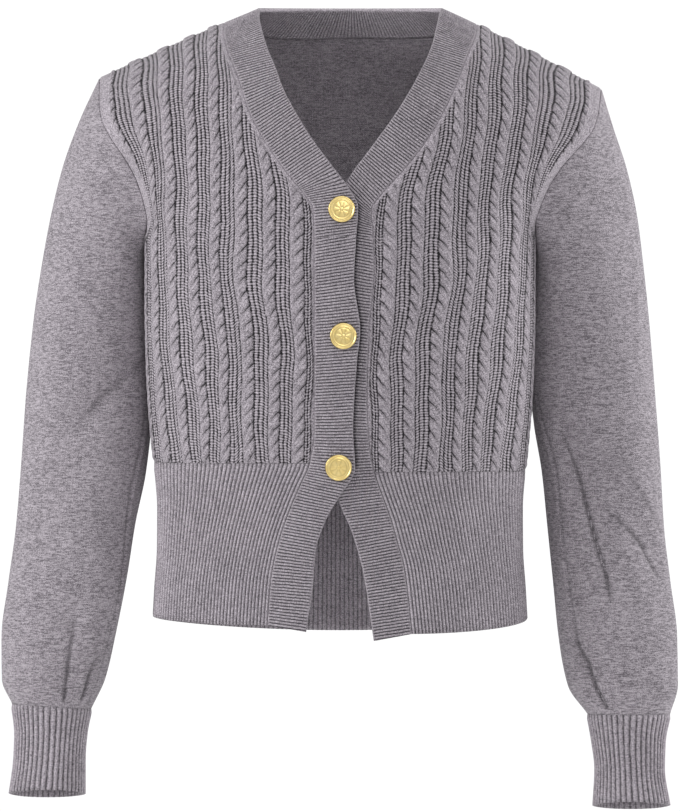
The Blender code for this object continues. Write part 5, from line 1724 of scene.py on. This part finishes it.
class CARDIGAN_OT_stage(Making, bpy.types.Operator):
    """Sets out the floor, the light and the camera"""

    bl_idname = "cardigan.stage"
    bl_label = "Stage"

    def make(self, scene):
        stage = scene.cardigan_stage
        mesh = bpy.data.meshes.new("pale_floor")
        corners = [(-FLOOR_REACH, -FLOOR_REACH), (FLOOR_REACH, -FLOOR_REACH)]
        corners += [(FLOOR_REACH, FLOOR_REACH), (-FLOOR_REACH, FLOOR_REACH)]
        mesh.from_pydata([(x, y, stage.floor) for x, y in corners], [], [(0, 1, 2, 3)])
        pale, shader, where = new_material("pale_floor")
        grain = blend(spots(where, 6.0), (0.80, 0.80, 0.80, 1), (0.84, 0.84, 0.84, 1))
        finish_shader(shader, Base_Color=grain, Roughness=0.9)
        mesh.materials.append(pale)
        floor = bpy.data.objects.new("pale_floor", mesh)
        scene.collection.objects.link(floor)
        floor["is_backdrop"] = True

        world = bpy.data.worlds.new("white_room")
        world.use_nodes = True
        background = world.node_tree.nodes["Background"]
        seen = Value(add_node(world.node_tree, "LightPath").outputs["Is Camera Ray"])
        bright = seen * SEEN_ROOM
        finish_shader(background, Color=(1, 1, 1, 1), Strength=bright.math("MAXIMUM", bright, stage.sky))
        scene.world = world
        for name, place, width, power in (
            ("left_light", (-2.6, -0.95, 0.5), 1.2, stage.left),
            ("right_light", (2.6, 0.5, 0.4), 1.2, stage.right),
            ("front_light", (0.5, -3.0, 1.3), 1.4, stage.front),
        ):
            lamp = bpy.data.lights.new(name, "AREA")
            lamp.size = width
            lamp.energy = power
            placed = bpy.data.objects.new(name, lamp)
            aim = np.array(place) - np.array([0, 0, stage.height])
            tilt = math.atan2(math.hypot(aim[0], aim[1]), aim[2])
            placed.location = place
            placed.rotation_euler = (tilt, 0, math.atan2(aim[0], -aim[1]))
            scene.collection.objects.link(placed)

        lens = bpy.data.cameras.new("front_view")
        lens.sensor_width = 36.0
        lens.lens = lens.sensor_width * stage.distance / stage.seen
        lens.clip_end = 50.0
        camera = bpy.data.objects.new("front_view", lens)
        camera.location = (0, -stage.distance, stage.height)
        camera.rotation_euler = (math.pi / 2, 0, 0)
        scene.collection.objects.link(camera)
        scene.camera = camera
        scene.view_settings.view_transform = "Standard"


PIECES = (
    CARDIGAN_OT_stage, CARDIGAN_OT_fronts, CARDIGAN_OT_back, CARDIGAN_OT_sleeves, CARDIGAN_OT_ribs,
    CARDIGAN_OT_bands, CARDIGAN_OT_buttons,
)


class CARDIGAN_PT_pieces(bpy.types.Panel):
    """Lists the cardigan's pieces and settings"""

    bl_idname = "CARDIGAN_PT_pieces"
    bl_label = "Cardigan"
    bl_space_type = "VIEW_3D"
    bl_region_type = "UI"
    bl_category = "Cardigan"

    def draw(self, context):
        for piece in PIECES:
            self.layout.operator(piece.bl_idname)
        scene = context.scene
        for group in (scene.cardigan_yarn, scene.cardigan_metal, scene.cardigan_stage):
            box = self.layout.box()
            for name in group.__annotations__:
                box.prop(group, name)


SETTINGS = (
    ("cardigan_yarn", YarnSettings),
    ("cardigan_metal", MetalSettings),
    ("cardigan_stage", StageSettings),
)


def register():
    for name, group in SETTINGS:
        bpy.utils.register_class(group)
        setattr(bpy.types.Scene, name, bpy.props.PointerProperty(type=group))
    for made in (*PIECES, CARDIGAN_PT_pieces):
        bpy.utils.register_class(made)


def unregister():
    for made in (CARDIGAN_PT_pieces, *reversed(PIECES)):
        bpy.utils.unregister_class(made)
    for name, group in reversed(SETTINGS):
        delattr(bpy.types.Scene, name)
        bpy.utils.unregister_class(group)


def main():
    register()
    bpy.ops.cardigan.stage()
    bpy.ops.cardigan.fronts()
    bpy.ops.cardigan.back()
    bpy.ops.cardigan.sleeves()
    bpy.ops.cardigan.ribs()
    bpy.ops.cardigan.bands()
    bpy.ops.cardigan.buttons()
    sizes = {"cad": [list(map(float, corner)) for corner in CAD_BOUNDS]}
    sizes["visual"] = [list(map(float, corner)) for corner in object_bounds()]


if __name__ == "__main__":
    main()
